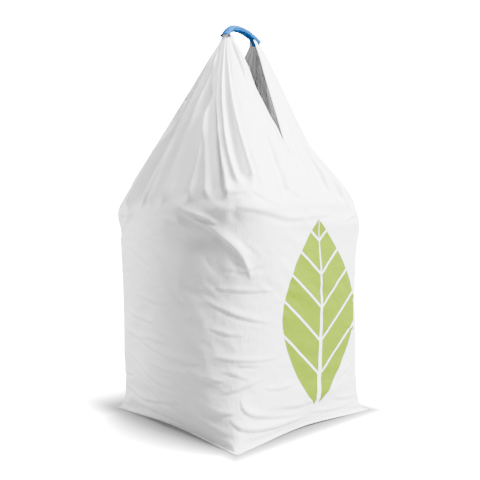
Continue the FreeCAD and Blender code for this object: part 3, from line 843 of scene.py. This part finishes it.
def woven_material(name, printed=False):
    """White woven tape fabric: fine weave, faint ribs along the warp, and small sharp wrinkles."""
    n = Nodes(name)
    x, y = n.fabric_place()
    flat = n.joined(x, y)
    streaks = n.noise(n.joined(x * 60.0, y * 1.4), 2.0, 2.0)
    cloud = n.noise(flat, 5.0, 4.0)
    rib = abs((x * (math.pi / RIB_PITCH)).step("SINE"))
    weave = weave_height(x, y)
    tone = n.between(streaks * 0.5 + cloud * 0.3 + rib * 0.2, 0.0, 1.0)
    colour = n.mix(tone, FABRIC_DARK, FABRIC_LIGHT)
    if printed:
        # The mark is on the front only, and its ink is duller than the fabric.
        mask = leaf_mask(x, y) * (abs(x) < 0.6)
        colour = n.mix(mask, colour, n.mix(tone, tinted(LIME, 0.90), tinted(LIME, 1.08)))
        n.feed(n.shader.inputs["Specular IOR Level"], n.between(mask, FABRIC_SHINE, INK_SHINE))
        n.feed(n.shader.inputs["Sheen Weight"], n.between(mask, FABRIC_SHEEN, 0.0))
    fine = n.bump(weave, 0.00035, 0.6)
    ribs = n.bump(streaks + rib * 0.35, 0.0012, 0.5, under=fine)
    wrinkle = n.noise(n.joined(x * 0.45, y), 7.0, 3.0, 0.45, distortion=0.6, noise_type="RIDGED_MULTIFRACTAL")
    sharp = n.bump(wrinkle, 0.004, 0.55, under=ribs)
    dents = n.bump(n.noise(flat, 20.0), 0.006, 0.5, under=sharp)
    return n.finish(colour, n.between(streaks, 0.40, 0.56), dents, Sheen_Weight=FABRIC_SHEEN,
                    Sheen_Roughness=0.4, Specular_IOR_Level=FABRIC_SHINE)


def thread_material(name, colour):
    n = Nodes(name)
    twist = n.add("TexWave", {"Scale": 900.0, "Vector": n.place()}, bands_direction="DIAGONAL").outputs[1]
    return n.finish(n.mix(twist, tinted(colour, 0.75), colour), 0.7, n.bump(twist, 0.0002), Sheen_Weight=0.3)


def film_material(name, colour, alpha, roughness):
    n = Nodes(name)
    haze = n.noise(n.place(), 30.0, 4.0)
    wrinkles = n.bump(n.noise(n.place(), 70.0, 3.0, 0.6), 0.002, 0.5)
    rough = n.between(haze, roughness * 0.8, roughness * 1.3)
    return n.finish(n.mix(haze, tinted(colour, 0.93), colour), rough, wrinkles, Alpha=alpha,
                    Specular_IOR_Level=0.55)


def sleeve_material():
    n = Nodes("blue_sleeve")
    x, y = n.fabric_place()
    streaks = n.noise(n.joined(x, y * 9.0), 22.0, 4.0, 0.6)
    colour = n.mix(streaks, (0.0, 0.044, 0.170), (0.0, 0.092, 0.310))
    fine = n.bump(weave_height(x, y), 0.0003, 0.5)
    return n.finish(colour, n.between(streaks, 0.55, 0.75), n.bump(streaks, 0.003, 0.5, under=fine),
                    Specular_IOR_Level=0.10)


def pellet_material():
    n = Nodes("pellets")
    cells = n.add("TexVoronoi", {"Scale": 130.0, "Vector": n.place()}).outputs
    colour = n.mix(n.noise(cells["Position"], 40.0, 1.0), (0.40, 0.27, 0.14), (0.66, 0.50, 0.30))
    return n.finish(colour, 0.75, n.bump(1.0 - Value(n, cells["Distance"]), 0.006, 0.9))


def nylon_material():
    n = Nodes("natural_nylon")
    cloud = n.noise(n.place(), 300.0)
    return n.finish(n.mix(cloud, (0.72, 0.71, 0.66), (0.80, 0.79, 0.75)), n.between(cloud, 0.28, 0.4),
                    n.bump(cloud, 0.0001, 0.4), Subsurface_Weight=0.15)


def ruled_card(name, base, ink, pitch, wide):
    """Card or label stock with plain ruled lines, and no lettering."""
    n = Nodes(name)
    x, y = n.fabric_place()
    fibre = n.noise(n.place(), 320.0, 5.0, 0.7)
    paper = n.mix(fibre, tinted(base, 0.93), base)
    row = y / pitch
    ragged = n.noise(n.joined(row.step("FLOOR"), 0.0), 3.7, 0.0)
    mask = (row.step("FRACT") < 0.22) * (x < ragged * (wide * 0.5) + wide * 0.45) * (x > 0.012)
    return n.finish(n.mix(mask, paper, ink), 0.7, n.bump(fibre, 0.0003, 0.5))


FABRIC = woven_material("woven_fabric")
PRINTED = woven_material("woven_fabric_printed", printed=True)
THREAD = thread_material("white_thread", (0.84, 0.84, 0.82))
BLUE_THREAD = thread_material("blue_thread", (0.02, 0.16, 0.46))
SLEEVE_BLUE = sleeve_material()
LINER = film_material("liner_film", (0.80, 0.84, 0.87), 0.55, 0.22)
POUCH = film_material("pouch_film", (0.86, 0.89, 0.91), 0.32, 0.16)
PELLETS = pellet_material()
CARD = ruled_card("ruled_card", (0.86, 0.855, 0.81), (0.30, 0.31, 0.33), 0.021, 0.200)
LABEL = ruled_card("ruled_label", (0.90, 0.90, 0.885), (0.10, 0.24, 0.10), 0.0135, 0.095)
NYLON = nylon_material()


# ---- pieces on their bodies ----
def fit(piece, slot, body, *nodes, drops=False):
    """Attaches a piece to the body it rides on (None if it is blended) and hides the CAD nodes that
    it replaces. The slot argument is not used. A piece that drops is part of the tent, and gets a mesh of its
    own."""
    if body is not None:
        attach(piece, body)
    if drops:
        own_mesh(piece)
    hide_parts(*nodes)
    return piece


def sewn(name, node, spans, body="bag", radius=0.0006, material=THREAD, slot="sewing_thread", drops=False):
    """A piece of short threads. Each span is a thread's start and end, and the way off the fabric."""
    sewing = Builder()
    for a, b, normal in spans:
        sewing.stitch(a, b, normal, radius)
    return fit(sewing.build(name, material), slot, body, node, drops=drops)


for piece, material in ((wall, PRINTED), (tent, FABRIC), (necks, FABRIC)):
    piece.data.materials.append(material)
fit(wall, "woven_fabric", "bag", "tube_wall")
fit(tent, "woven_fabric", "bag", "tent_skirt", "tent_leg_left", "tent_leg_right", drops=True)
fit(necks, "woven_fabric", None, "neck_left", "neck_right")
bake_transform(necks)


# ---- the fabric's surface ----
class Fabric:
    """The finished woven tube, as a surface to place the other pieces on."""

    def __init__(self, grids, heights):
        self.grids, self.heights = grids, heights
        self.normals = [unit(np.cross(np.gradient(points, axis=1), np.gradient(points, axis=0)) * sign)
                        for points, sign in zip(grids, SIDE_SIGN)]

    def at(self, side, u, z, lift=0.0):
        """Points at those columns (0 to 1) and heights, lifted off the fabric, and the normals there."""
        u, z, lift = np.broadcast_arrays(u, z, lift)
        rows, columns = self.grids[side].shape[:2]
        j, i = np.interp(z, self.heights, np.arange(rows)), u * (columns - 1)
        j0, i0 = np.clip(j.astype(int), 0, rows - 2), np.clip(i.astype(int), 0, columns - 2)
        fj, fi = (j - j0)[..., None], (i - i0)[..., None]
        found = []
        for grid in (self.grids[side], self.normals[side]):
            low = grid[j0, i0] * (1 - fi) + grid[j0, i0 + 1] * fi
            high = grid[j0 + 1, i0] * (1 - fi) + grid[j0 + 1, i0 + 1] * fi
            found.append(low * (1 - fj) + high * fj)
        return found[0] + found[1] * lift[..., None], found[1]

    def from_slit(self, side, back, z, distance, lift):
        """A point that far from a slit's edge, measured along the fabric. It may lie just beyond the edge."""
        trial = np.linspace(0, 0.14, 29)
        line, _ = self.at(side, 1 - trial if back else trial, z)
        run = np.concatenate([[0], np.cumsum(np.linalg.norm(np.diff(line, axis=0), axis=1))])
        u = np.interp(max(distance, 0.0), run, trial)
        point, normal = self.at(side, 1 - u if back else u, z, lift)
        if distance < 0:
            edge = line[0] - line[1]
            point = point + edge / np.linalg.norm(edge) * -distance
        return point, normal


fabric = Fabric(halves, HEIGHTS)


# ---- slits: hems and stitching ----
# Distance from the slit's edge and lift off the fabric, round the folded tape's section.
HEM_SECTION = [
    (0.0190, 0.0004), (0.0185, 0.0013), (0.0130, 0.0015), (0.0108, 0.0009), (0.0086, 0.0016),
    (0.0040, 0.0020), (0.0000, 0.0019), (-0.0016, 0.0010), (-0.0020, 0.0), (-0.0016, -0.0010),
    (0.0000, -0.0017), (0.0050, -0.0016), (0.0100, -0.0009), (0.0150, -0.0014), (0.0155, -0.0004),
    (0.0060, -0.0003), (0.0010, 0.0), (0.0060, 0.0003),
]


def slit_hem(side, back):
    """A folded tape round one edge of a slit, with its line of lock stitches."""
    levels = np.linspace(SLIT_FOOT + 0.0006, NECK_FOOT, 120)
    hem = Builder()
    rings, uv = [], []
    for k, z in enumerate(levels):
        pucker = 0.0003 * math.sin(k * 2.1)
        rings.append([fabric.from_slit(side, back, z, d, lift * 1.3 + pucker * (lift > 0))[0]
                      for d, lift in HEM_SECTION])
        uv.append([(d, z) for d, _ in HEM_SECTION])
    hem.tube(np.array(rings), np.array(uv))
    for z in np.arange(SLIT_FOOT + 0.006, NECK_FOOT - 0.008, STITCH_PITCH):
        ends = [fabric.from_slit(side, back, level, 0.0107, 0.0013) for level in (z, z + STITCH)]
        hem.stitch(ends[0][0], ends[1][0], ends[0][1], 0.00045, slot=1)
    name = f"slit_hem_{'back' if back else 'front'}_{'left' if side == LEFT else 'right'}"
    return fit(hem.build(f"folded_{name}", FABRIC, THREAD), "woven_fabric", "bag", name, drops=True)


def slit_stitching(back):
    """A U of double lock stitching below the slit's foot, which stops the slit from tearing on."""
    name = "slit_stitches_back" if back else "slit_stitches_front"
    low, high = [corner.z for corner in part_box(name)]
    pitch, stitch = 0.0075, 0.0052
    spans = []

    def place(x, z):
        return fabric.from_slit(LEFT if x < 0 else RIGHT, back, z, abs(x), 0.0009)

    for half_width, foot in ((0.0125, low + 0.002), (0.0095, low + 0.006)):
        runs = [(x, z, x, z + stitch) for x in (-half_width, half_width)
                for z in np.arange(foot + 0.003, high - 0.006, pitch)]
        runs += [(x, foot, x + stitch, foot) for x in np.arange(-half_width, half_width - 0.004, pitch)]
        for x0, z0, x1, z1 in runs:
            start, normal = place(x0, z0)
            spans.append((start, place(x1, z1)[0], normal))
    return sewn(f"sewn_{name}", name, spans, drops=True)


slit_pieces = [slit_hem(side, back) for back in (False, True) for side in (LEFT, RIGHT)]
slit_pieces += [slit_stitching(False), slit_stitching(True)]


# ---- the sewn bottom ----
CORNER = 0.466                                  # half the distance between two corners of the wall's foot
EAR, EAR_REACH = 0.013, 0.026                   # how far a corner is pulled out, and the width of that
outline = np.concatenate([halves[LEFT][0, ::-1], halves[RIGHT][0, 1:-1]])
outline_lift = np.concatenate([bottom_lift(U)[::-1], bottom_lift(U)[1:-1]])
run = np.roll(outline, -1, axis=0) - np.roll(outline, 1, axis=0)
outline_out = unit(np.stack([run[:, 1], -run[:, 0], 0 * run[:, 0]], 1))
if (outline_out * outline).sum() < 0:
    outline_out = -outline_out
to_corner = np.hypot(*(np.abs(outline[:, :2]) - CORNER).T)
ear = EAR * np.exp(-(to_corner / EAR_REACH) ** 2)
diagonal = unit(outline * [1, 1, 0])


def on_seam(offset, height):
    """A closed ring of points beside the wall's foot; the outer part is pulled out at the corners."""
    pulled = np.clip((offset + 0.002) / 0.008, 0, 1)
    ring = outline + outline_out * offset + diagonal * (ear * pulled)[:, None]
    ring[:, 2] = 0.0002 + outline_lift * (0.96 + 2.0 * min(offset, 0.0)) + height
    return ring


# Offset from the wall's foot and height above the seam's underside, round the folded seam's section.
SEAM_SECTION = [
    (-0.020, 0.0002), (-0.020, 0.0018), (-0.008, 0.0022), (-0.002, 0.0026), (0.0025, 0.0034),
    (0.0055, 0.0036), (0.0078, 0.0030), (0.0085, 0.0018), (0.0078, 0.0005), (0.0040, 0.0000),
    (-0.008, 0.0000),
]
seam = Builder()
rings = np.stack([on_seam(offset, height) for offset, height in SEAM_SECTION], axis=1)
ripple = 0.0006 * np.sin(np.arange(len(rings)) * 0.9) * (1 + np.sin(np.arange(len(rings)) * 0.23))
rings[:, 3:8, 2] += np.abs(ripple)[:, None]
length = np.arange(len(rings)) * 0.0083
round_seam = np.arange(rings.shape[1]) * 0.004
seam.grid(rings, np.stack(np.broadcast_arrays(length[:, None], round_seam), -1), along=True)
seam = fit(seam.build("sewn_bottom_seam", FABRIC), "woven_fabric", "bag", "bottom_seam")

seam_line = on_seam(0.0042, 0.0040)
seam_thread = sewn("bottom_lock_stitches", "bottom_seam_thread", radius=0.0007, spans=[
    (a, a * 0.25 + b * 0.75, (0, 0, 1)) for a, b in zip(seam_line[:-1:2], seam_line[1::2])])

inner_ring = on_seam(-0.018, 0.0)
shares = np.linspace(1, 0.02, 26)[:, None]
lower = inner_ring * [1, 1, 0] * shares[..., None]
lower[..., 2] = 0.0001 + shares ** 12 * (inner_ring[:, 2] - 0.0004)
upper = lower.copy()
upper[..., 2] += 0.0011 + 0.0007 * (1 + smooth_noise(lower.shape[:2], (9, 40), 71))
panel = Builder()
panel.shell(lower, upper, lower[..., :2])
panel = fit(panel.build("woven_bottom", FABRIC), "woven_fabric", "bag", "bottom_panel")


# ---- contents and liner ----
GATHERED_ABOVE = 1.18                           # over the heap the liner is gathered towards its neck
NECK_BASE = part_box("liner_body")[1].z
LINER_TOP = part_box("liner_neck")[1].z
TIE_LEVEL = (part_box("liner_neck_tie")[0].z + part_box("liner_neck_tie")[1].z) / 2


def whole_turn(count):
    return np.linspace(0, 2 * math.pi, count, endpoint=False)


HEAP_ENDS = [(0.93, 1.196, 0.0), (0.80, 1.222, 0.1), (0.55, 1.238, 0.3), (0.25, 1.244, 0.6),
             (0.02, 1.246, 1.0)]
heap = Builder()
heap.tube(heap_rings(0.032, HEAP_ENDS, low=0.014))
fit(heap.build("heaped_pellets", PELLETS), "contents", "bag", "bulk_contents")

LINER_ENDS = [(0.93, 1.208, 0.0), (0.80, 1.231, 0.1), (0.55, 1.248, 0.3), (0.36, 1.256, 0.6),
              (0.22, 1.263, 0.8), (0.13, 1.272, 1.0), (0.085, 1.284, 1.0), (0.064, NECK_BASE, 1.0)]
fine = finer(finer(heap_rings(0.020, LINER_ENDS, low=0.009), 0), 0)
turn = whole_turn(fine.shape[1])
reach = np.hypot(fine[..., 0], fine[..., 1])
on_heap = fine[..., 2] > GATHERED_ABOVE
pleats = np.sin(turn * 13) * 0.6 + np.sin(turn * 21 + 1.0) * 0.4
fine[..., 2] += 0.006 * np.clip(1 - reach / 0.40, 0, 1) * on_heap * np.clip(reach / 0.06, 0, 1) * pleats
fine[..., :2] *= (1 + 0.07 * pleats * np.clip(1 - reach / 0.09, 0, 1) * on_heap)[..., None]
fine[-1, :, 2] = NECK_BASE
liner = Builder()
liner.tube(fine[:, ::-1])
liner = fit(liner.build("filled_liner", LINER), "liner_film", "bag", "liner_body")

turn, levels = whole_turn(120), np.linspace(NECK_BASE + 0.0004, LINER_TOP - 0.001, 64)[:, None]
radius = np.interp(levels, [1.298, 1.315, 1.345, TIE_LEVEL - 0.003, TIE_LEVEL + 0.003, 1.380, 1.400, 1.420],
                   [0.0278, 0.0210, 0.0150, 0.0112, 0.0112, 0.0170, 0.0235, 0.0265])
radius = radius * (1 + 0.13 * np.sin(turn * 13 + 6 * levels) + 0.06 * np.sin(turn * 21 + 1.0 - 9 * levels))
opened = smooth((levels - TIE_LEVEL) / 0.055)
radius = radius * (1 + 0.10 * opened * np.sin(turn * 3 + 0.7))
outer = np.stack([radius * np.cos(turn), radius * np.sin(turn),
                  levels - 0.010 * opened * (0.5 + 0.5 * np.sin(turn * 5)) + 0 * turn], -1)
neck_film = Builder()
neck_film.shell(outer, outer * [0.93, 0.93, 1])
neck_film = fit(neck_film.build("gathered_liner_neck", LINER), "liner_film", None, "liner_neck")
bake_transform(neck_film)
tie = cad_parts["liner_neck_tie"]
tie.data.materials.clear()
tie.data.materials.append(NYLON)


# ---- the loop: gathered fabric in a sewn sleeve ----
SLEEVE_WIDE, SLEEVE_HIGH = 0.0262, 0.0168
# The creases along the sleeve: place round it, drift along it, width and depth.
SLEEVE_CREASES = [
    (0.5, 1.5, 0.16, 0.10), (1.15, -1.2, 0.13, 0.12), (2.0, 1.0, 0.20, 0.08), (3.6, -1.0, 0.18, 0.10),
    (4.4, 1.6, 0.14, 0.12), (5.4, -1.4, 0.18, 0.09),
]
# The loop's centreline from its left mouth to its right one: X and Z.
LOOP_LINE = [(-0.1160, 1.9840), (-0.0990, 2.0130), (-0.0700, 2.0330), (-0.0260, 2.0375), (0.0240, 2.0305),
             (0.0680, 2.0160), (0.0985, 1.9985), (0.1135, 1.9830)]


def loop_line(count):
    """Points along the centreline, its direction, the way outwards and its length so far."""
    line = np.array(LOOP_LINE)
    for _ in range(3):
        line = finer(line, 0)
    for _ in range(2):
        line[1:-1] = (line[:-2] + 2 * line[1:-1] + line[2:]) / 4
    run = np.concatenate([[0], np.cumsum(np.hypot(*np.diff(line, axis=0).T))])
    at = np.linspace(0, run[-1], count)
    path = np.stack([np.interp(at, run, line[:, 0]), 0 * at, np.interp(at, run, line[:, 1])], 1)
    along = unit(np.gradient(path, axis=0))
    outwards = np.stack([-along[:, 2], 0 * at, along[:, 0]], 1)
    return path, along, outwards, at


def loop_sleeve():
    """The woven sleeve: creased lengthwise, bunched inside its bends and flared at its mouths."""
    path, along, outwards, at = loop_line(150)
    total = at[-1]
    turn, s = whole_turn(88), at[:, None]
    mouth = np.exp(-(np.minimum(s, total - s) / 0.014) ** 2)
    bend = np.exp(-((s - 0.062) / 0.022) ** 2) + np.exp(-((total - s - 0.062) / 0.022) ** 2)
    shape = 1.02 + 0 * turn * s
    for place, drift, wide, depth in SLEEVE_CREASES:
        d = (turn - place - drift * (s - total / 2) + math.pi) % (2 * math.pi) - math.pi
        shape = shape - depth * (0.6 + 0.4 * np.sin(40 * s + place)) * np.exp(-(d / wide) ** 2)
    shape = shape + 0.05 * smooth_noise(shape.shape, (22, 9), 91)
    inner = np.clip(-np.cos(turn), 0, 1)
    shape = shape + 0.09 * bend * inner * np.sin(s * 2 * math.pi / 0.0085)
    wide = SLEEVE_WIDE * (1 - 0.06 * bend) * (1 + mouth * (0.34 + 0.08 * np.sin(3 * turn + 0.6)))
    high = SLEEVE_HIGH * (1 + mouth * 0.36)
    slide = mouth * 0.004 * np.sin(2 * turn + 0.9) * np.sign(s - total / 2)

    def skin(thin):
        return (path[:, None] + along[:, None] * slide[..., None]
                + outwards[:, None] * ((high - thin) * shape * np.cos(turn))[..., None]
                + ALONG_Y * ((wide - thin) * shape * np.sin(turn))[..., None])

    sleeve = Builder()
    sleeve.shell(skin(0.0), skin(0.0011), np.stack(np.broadcast_arrays(s, turn * 0.020), -1))
    piece = sleeve.build("woven_loop_sleeve", SLEEVE_BLUE)
    return fit(piece, "sleeve_fabric", "lifting_loop", "loop_sleeve"), skin(0.0)


def loop_core(sign, name):
    """One of the two ropes of gathered fabric inside the sleeve, pleated along its length."""
    path, _, outwards, at = loop_line(110)
    turn, s = whole_turn(64), at[:, None]
    pleat = 1 + 0.08 * np.sin(9 * turn + 14 * s + sign) + 0.04 * np.sin(17 * turn - 9 * s)
    across = sign * 0.0094 + 0.0078 * pleat * np.sin(turn)
    up = 0.0104 * pleat * np.cos(turn)
    core = Builder()
    core.tube(path[:, None] + outwards[:, None] * up[..., None] + ALONG_Y * across[..., None],
              np.stack(np.broadcast_arrays(turn * 0.011, s), -1))
    fit(core.build(f"gathered_{name}", FABRIC), "woven_fabric", "lifting_loop", name)


sleeve, skin = loop_sleeve()
loop_core(-1, "loop_core_front")
loop_core(1, "loop_core_back")

path, along, outwards, _ = loop_line(60)
spans = []
for k in range(18, 42, 2):
    for across in (-0.0125, -0.0065, 0.0065, 0.0125):
        foot = path[k] + outwards[k] * 0.0098 + ALONG_Y * across
        spans.append((foot, foot + along[k] * 0.0048, outwards[k]))
sewn("core_splice_stitches", "loop_splice_stitches", spans, body="lifting_loop")

under = skin[:, skin.shape[1] // 2]
spans = []
for x in np.arange(-0.052, 0.050, STITCH_PITCH):
    ends = [np.array([np.interp(v, under[:, 0], part) for part in under.T]) for v in (x, x + STITCH)]
    spans.append((*ends, (0, 0, -1)))
sleeve_seam = sewn("sleeve_lock_stitches", "sleeve_seam_thread", spans, body="lifting_loop",
                   material=BLUE_THREAD, slot="blue_thread")


# ---- what is sewn to the back ----
def upright_sheet(name, node, body, material, slot, thickness, wave, seed, bow=0.0, curl=0.0):
    """A thin closed sheet in the place of a flat node on the back. Its corners are a little rounded."""
    (left, plane, foot), (right, _, top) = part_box(node)
    x, z = np.linspace(left, right, 46)[None, :], np.linspace(foot, top, 60)[:, None]
    across, up = (x - left) / (right - left), (z - foot) / (top - foot)
    y = plane + wave * (1 + smooth_noise((60, 46), (5, 4), seed)) / 2 + curl * (1 - up) ** 2
    if bow:
        margin, slope = 0.003, 0.010
        inside = smooth((x - left - margin) / slope) * smooth((right - margin - x) / slope)
        y = y + bow * inside * smooth((z - foot - margin) / slope)
    corner = 0.0025 * np.clip(np.abs(2 * across - 1) ** 24, 0, 1) * np.clip(np.abs(2 * up - 1) ** 24, 0, 1)
    x, z = x - corner * np.sign(across - 0.5), z - corner * np.sign(up - 0.5)
    front, back = [np.stack([x, depth, z], -1) for depth in (y + thickness, y)]
    sheet = Builder()
    sheet.sheet(front, back, np.stack([right - x, z - foot], -1))
    return fit(sheet.build(name, material), slot, body, node)


def sewn_rows(name, node, sheet, levels, off, left):
    """Rows of lock stitches along X on a sheet on the back, at levels above its foot or below its top."""
    low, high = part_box(sheet)
    spans = []
    for level in levels:
        z = level + (low.z if level > 0 else high.z)
        for x in np.arange(low.x + left, high.x - 0.012, STITCH_PITCH):
            spans.append(((x, low.y + off, z), (x + STITCH, low.y + off, z), (0, 1, 0)))
    sewn(name, node, spans)


pouch_back = upright_sheet("film_pouch_back", "document_pouch_back", "bag", POUCH, "pouch_film",
                           0.0005, 0.0002, seed=3)
pouch_front = upright_sheet("film_pouch_front", "document_pouch_front", "bag", POUCH, "pouch_film",
                            0.0005, 0.0003, seed=4, bow=0.0026)
upright_sheet("delivery_card", "document_card", "document", CARD, "card", 0.0007, 0.0001, seed=6)
label = upright_sheet("hanging_label", "safety_label", None, LABEL, "label_fabric",
                      0.0005, 0.0012, seed=7, curl=0.004)
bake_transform(label)
header = upright_sheet("label_header_strip", "safety_label_header", "bag", LABEL, "label_fabric",
                       0.0006, 0.0002, seed=8)
sewn_rows("pouch_lock_stitches", "document_pouch_stitches", "document_pouch_back", (-0.0074,),
          0.0009, 0.008)
sewn_rows("label_lock_stitches", "safety_label_stitches", "safety_label_header", (0.005, 0.0115),
          0.0010, 0.006)


# ---- light, floor and camera ----
def area_light(name, place, target, size, power):
    data = bpy.data.lights.new(name, "AREA")
    data.shape, data.size, data.size_y = "RECTANGLE", size[0], size[1]
    data.energy = power
    lamp = bpy.data.objects.new(name, data)
    bpy.context.scene.collection.objects.link(lamp)
    lamp.location = place
    lamp.rotation_mode = "QUATERNION"
    lamp.rotation_quaternion = (Vector(place) - Vector(target)).to_track_quat("Z", "Y")
    return lamp


def floor_material():
    """White, with a painted shade around the bag's base that reaches further on its left and behind it. The
    camera also sees a glow in it, dimmed as painted shade near the bag, and further off sees the white world
    through it."""
    side, corner, near, left_reach, back_reach = 0.470, 0.400, 0.085, 0.285, 0.38
    n = Nodes("white_floor")
    place = n.place()
    x, y = n.split(place)
    level = y.step("MINIMUM", corner)
    reach = (level * (0.06 - level * 0.85) + left_reach).step("MAXIMUM", 0.09)
    left = (-side - x).step("MAXIMUM", 0.0) / reach
    behind = (y - corner).step("MAXIMUM", 0.0) / back_reach
    round_corner = (left * left + behind * behind).step("SQRT")
    right, front = (x - side) / near, (-side - y) / near
    away = right.step("MAXIMUM", front).step("MAXIMUM", round_corner, clamp=True)
    # Painted shade: the floor's colour is darker close to the bag's base.
    n.finish(n.mix(away, (0.18, 0.18, 0.18), (0.30, 0.30, 0.30)), n.between(n.noise(place, 3.0), 0.80, 0.90))
    seen = n.add("LightPath").outputs["Is Camera Ray"]
    # Painted glow that only the camera sees, dimmed to a painted shade close to the bag.
    glow = n.add("Emission", {"Strength": (away * 5.35).step("EXPONENT") * 0.13})
    dark = n.add("Emission", {"Strength": 0.0})
    glow_seen = n.add("MixShader", {0: seen, 1: dark.outputs[0], 2: glow.outputs[0]})
    lit = n.add("AddShader", {0: n.shader.outputs[0], 1: glow_seen.outputs[0]})
    far = n.add("VectorMath", {0: place}, operation="LENGTH").outputs["Value"]
    fade = n.add("MapRange", {0: far, "From Min": 0.85, "From Max": 1.60}, interpolation_type="SMOOTHERSTEP")
    gone = n.math("MULTIPLY", fade.outputs[0], seen)
    floor = n.add("MixShader", {0: gone, 1: lit.outputs[0], 2: n.add("BsdfTransparent").outputs[0]})
    n.feed(n.tree.nodes["Material Output"].inputs["Surface"], floor.outputs[0])
    return n.material


def white_world(ambient=0.26, seen=30.0):
    """A white background. What the camera sees of it is much brighter than the light that it gives."""
    world = bpy.data.worlds.new("studio")
    bpy.context.scene.world = world
    world.use_nodes = True
    tree = world.node_tree
    path, mix = tree.nodes.new("ShaderNodeLightPath"), tree.nodes.new("ShaderNodeMixShader")
    tree.links.new(path.outputs["Is Camera Ray"], mix.inputs[0])
    tree.links.new(mix.outputs[0], tree.nodes["World Output"].inputs["Surface"])
    for k, (node, strength) in enumerate(((tree.nodes["Background"], ambient),
                                          (tree.nodes.new("ShaderNodeBackground"), seen))):
        node.inputs["Color"].default_value = (1, 1, 1, 1)
        node.inputs["Strength"].default_value = strength
        tree.links.new(node.outputs[0], mix.inputs[1 + k])


def studio():
    """A large soft key light at the front right, a narrow softbox on the left behind, and a small light
    above that rakes the tent's folds, over a floor in a white world."""
    white_world()
    area_light("key", (2.25, -4.62, 4.9), (0, 0, 1.0), (4.0, 3.4), 3500)
    side = area_light("softbox", (-1.50, 1.85, 0.98), (-0.47, 0.52, 0.93), (0.4, 1.9), 8.0)
    side.data.spread = math.radians(24)
    area_light("overhead", (-0.75, -1.0, 4.5), (-0.2, 0.0, 1.55), (0.7, 0.7), 190)
    mesh = bpy.data.meshes.new("floor")
    reach = 40.0
    mesh.from_pydata([(-reach, -reach, 0), (reach, -reach, 0), (reach, reach, 0), (-reach, reach, 0)], [],
                     [(0, 1, 2, 3)])
    mesh.materials.append(floor_material())
    floor = bpy.data.objects.new("floor", mesh)
    floor.location.z = -0.0005
    bpy.context.scene.collection.objects.link(floor)


def camera():
    """Eye level a little above the bag's middle, turned to see the front and left faces."""
    turn, distance, height, aside, pitch = math.radians(-42.93), 3.573, 1.106, -0.008, math.radians(-2.96)
    forward = Vector((-math.sin(turn), math.cos(turn), 0))
    right = Vector((math.cos(turn), math.sin(turn), 0))
    data = bpy.data.cameras.new("camera")
    data.sensor_width = 36.0
    data.lens = 49.7
    data.clip_end = 200.0
    eye = bpy.data.objects.new("camera", data)
    bpy.context.scene.collection.objects.link(eye)
    eye.location = -forward * distance + right * aside + Vector((0, 0, height))
    look = forward * math.cos(pitch) + Vector((0, 0, math.sin(pitch)))
    eye.rotation_mode = "QUATERNION"
    eye.rotation_quaternion = look.to_track_quat("-Z", "Y")
    bpy.context.scene.camera = eye


studio()
camera()
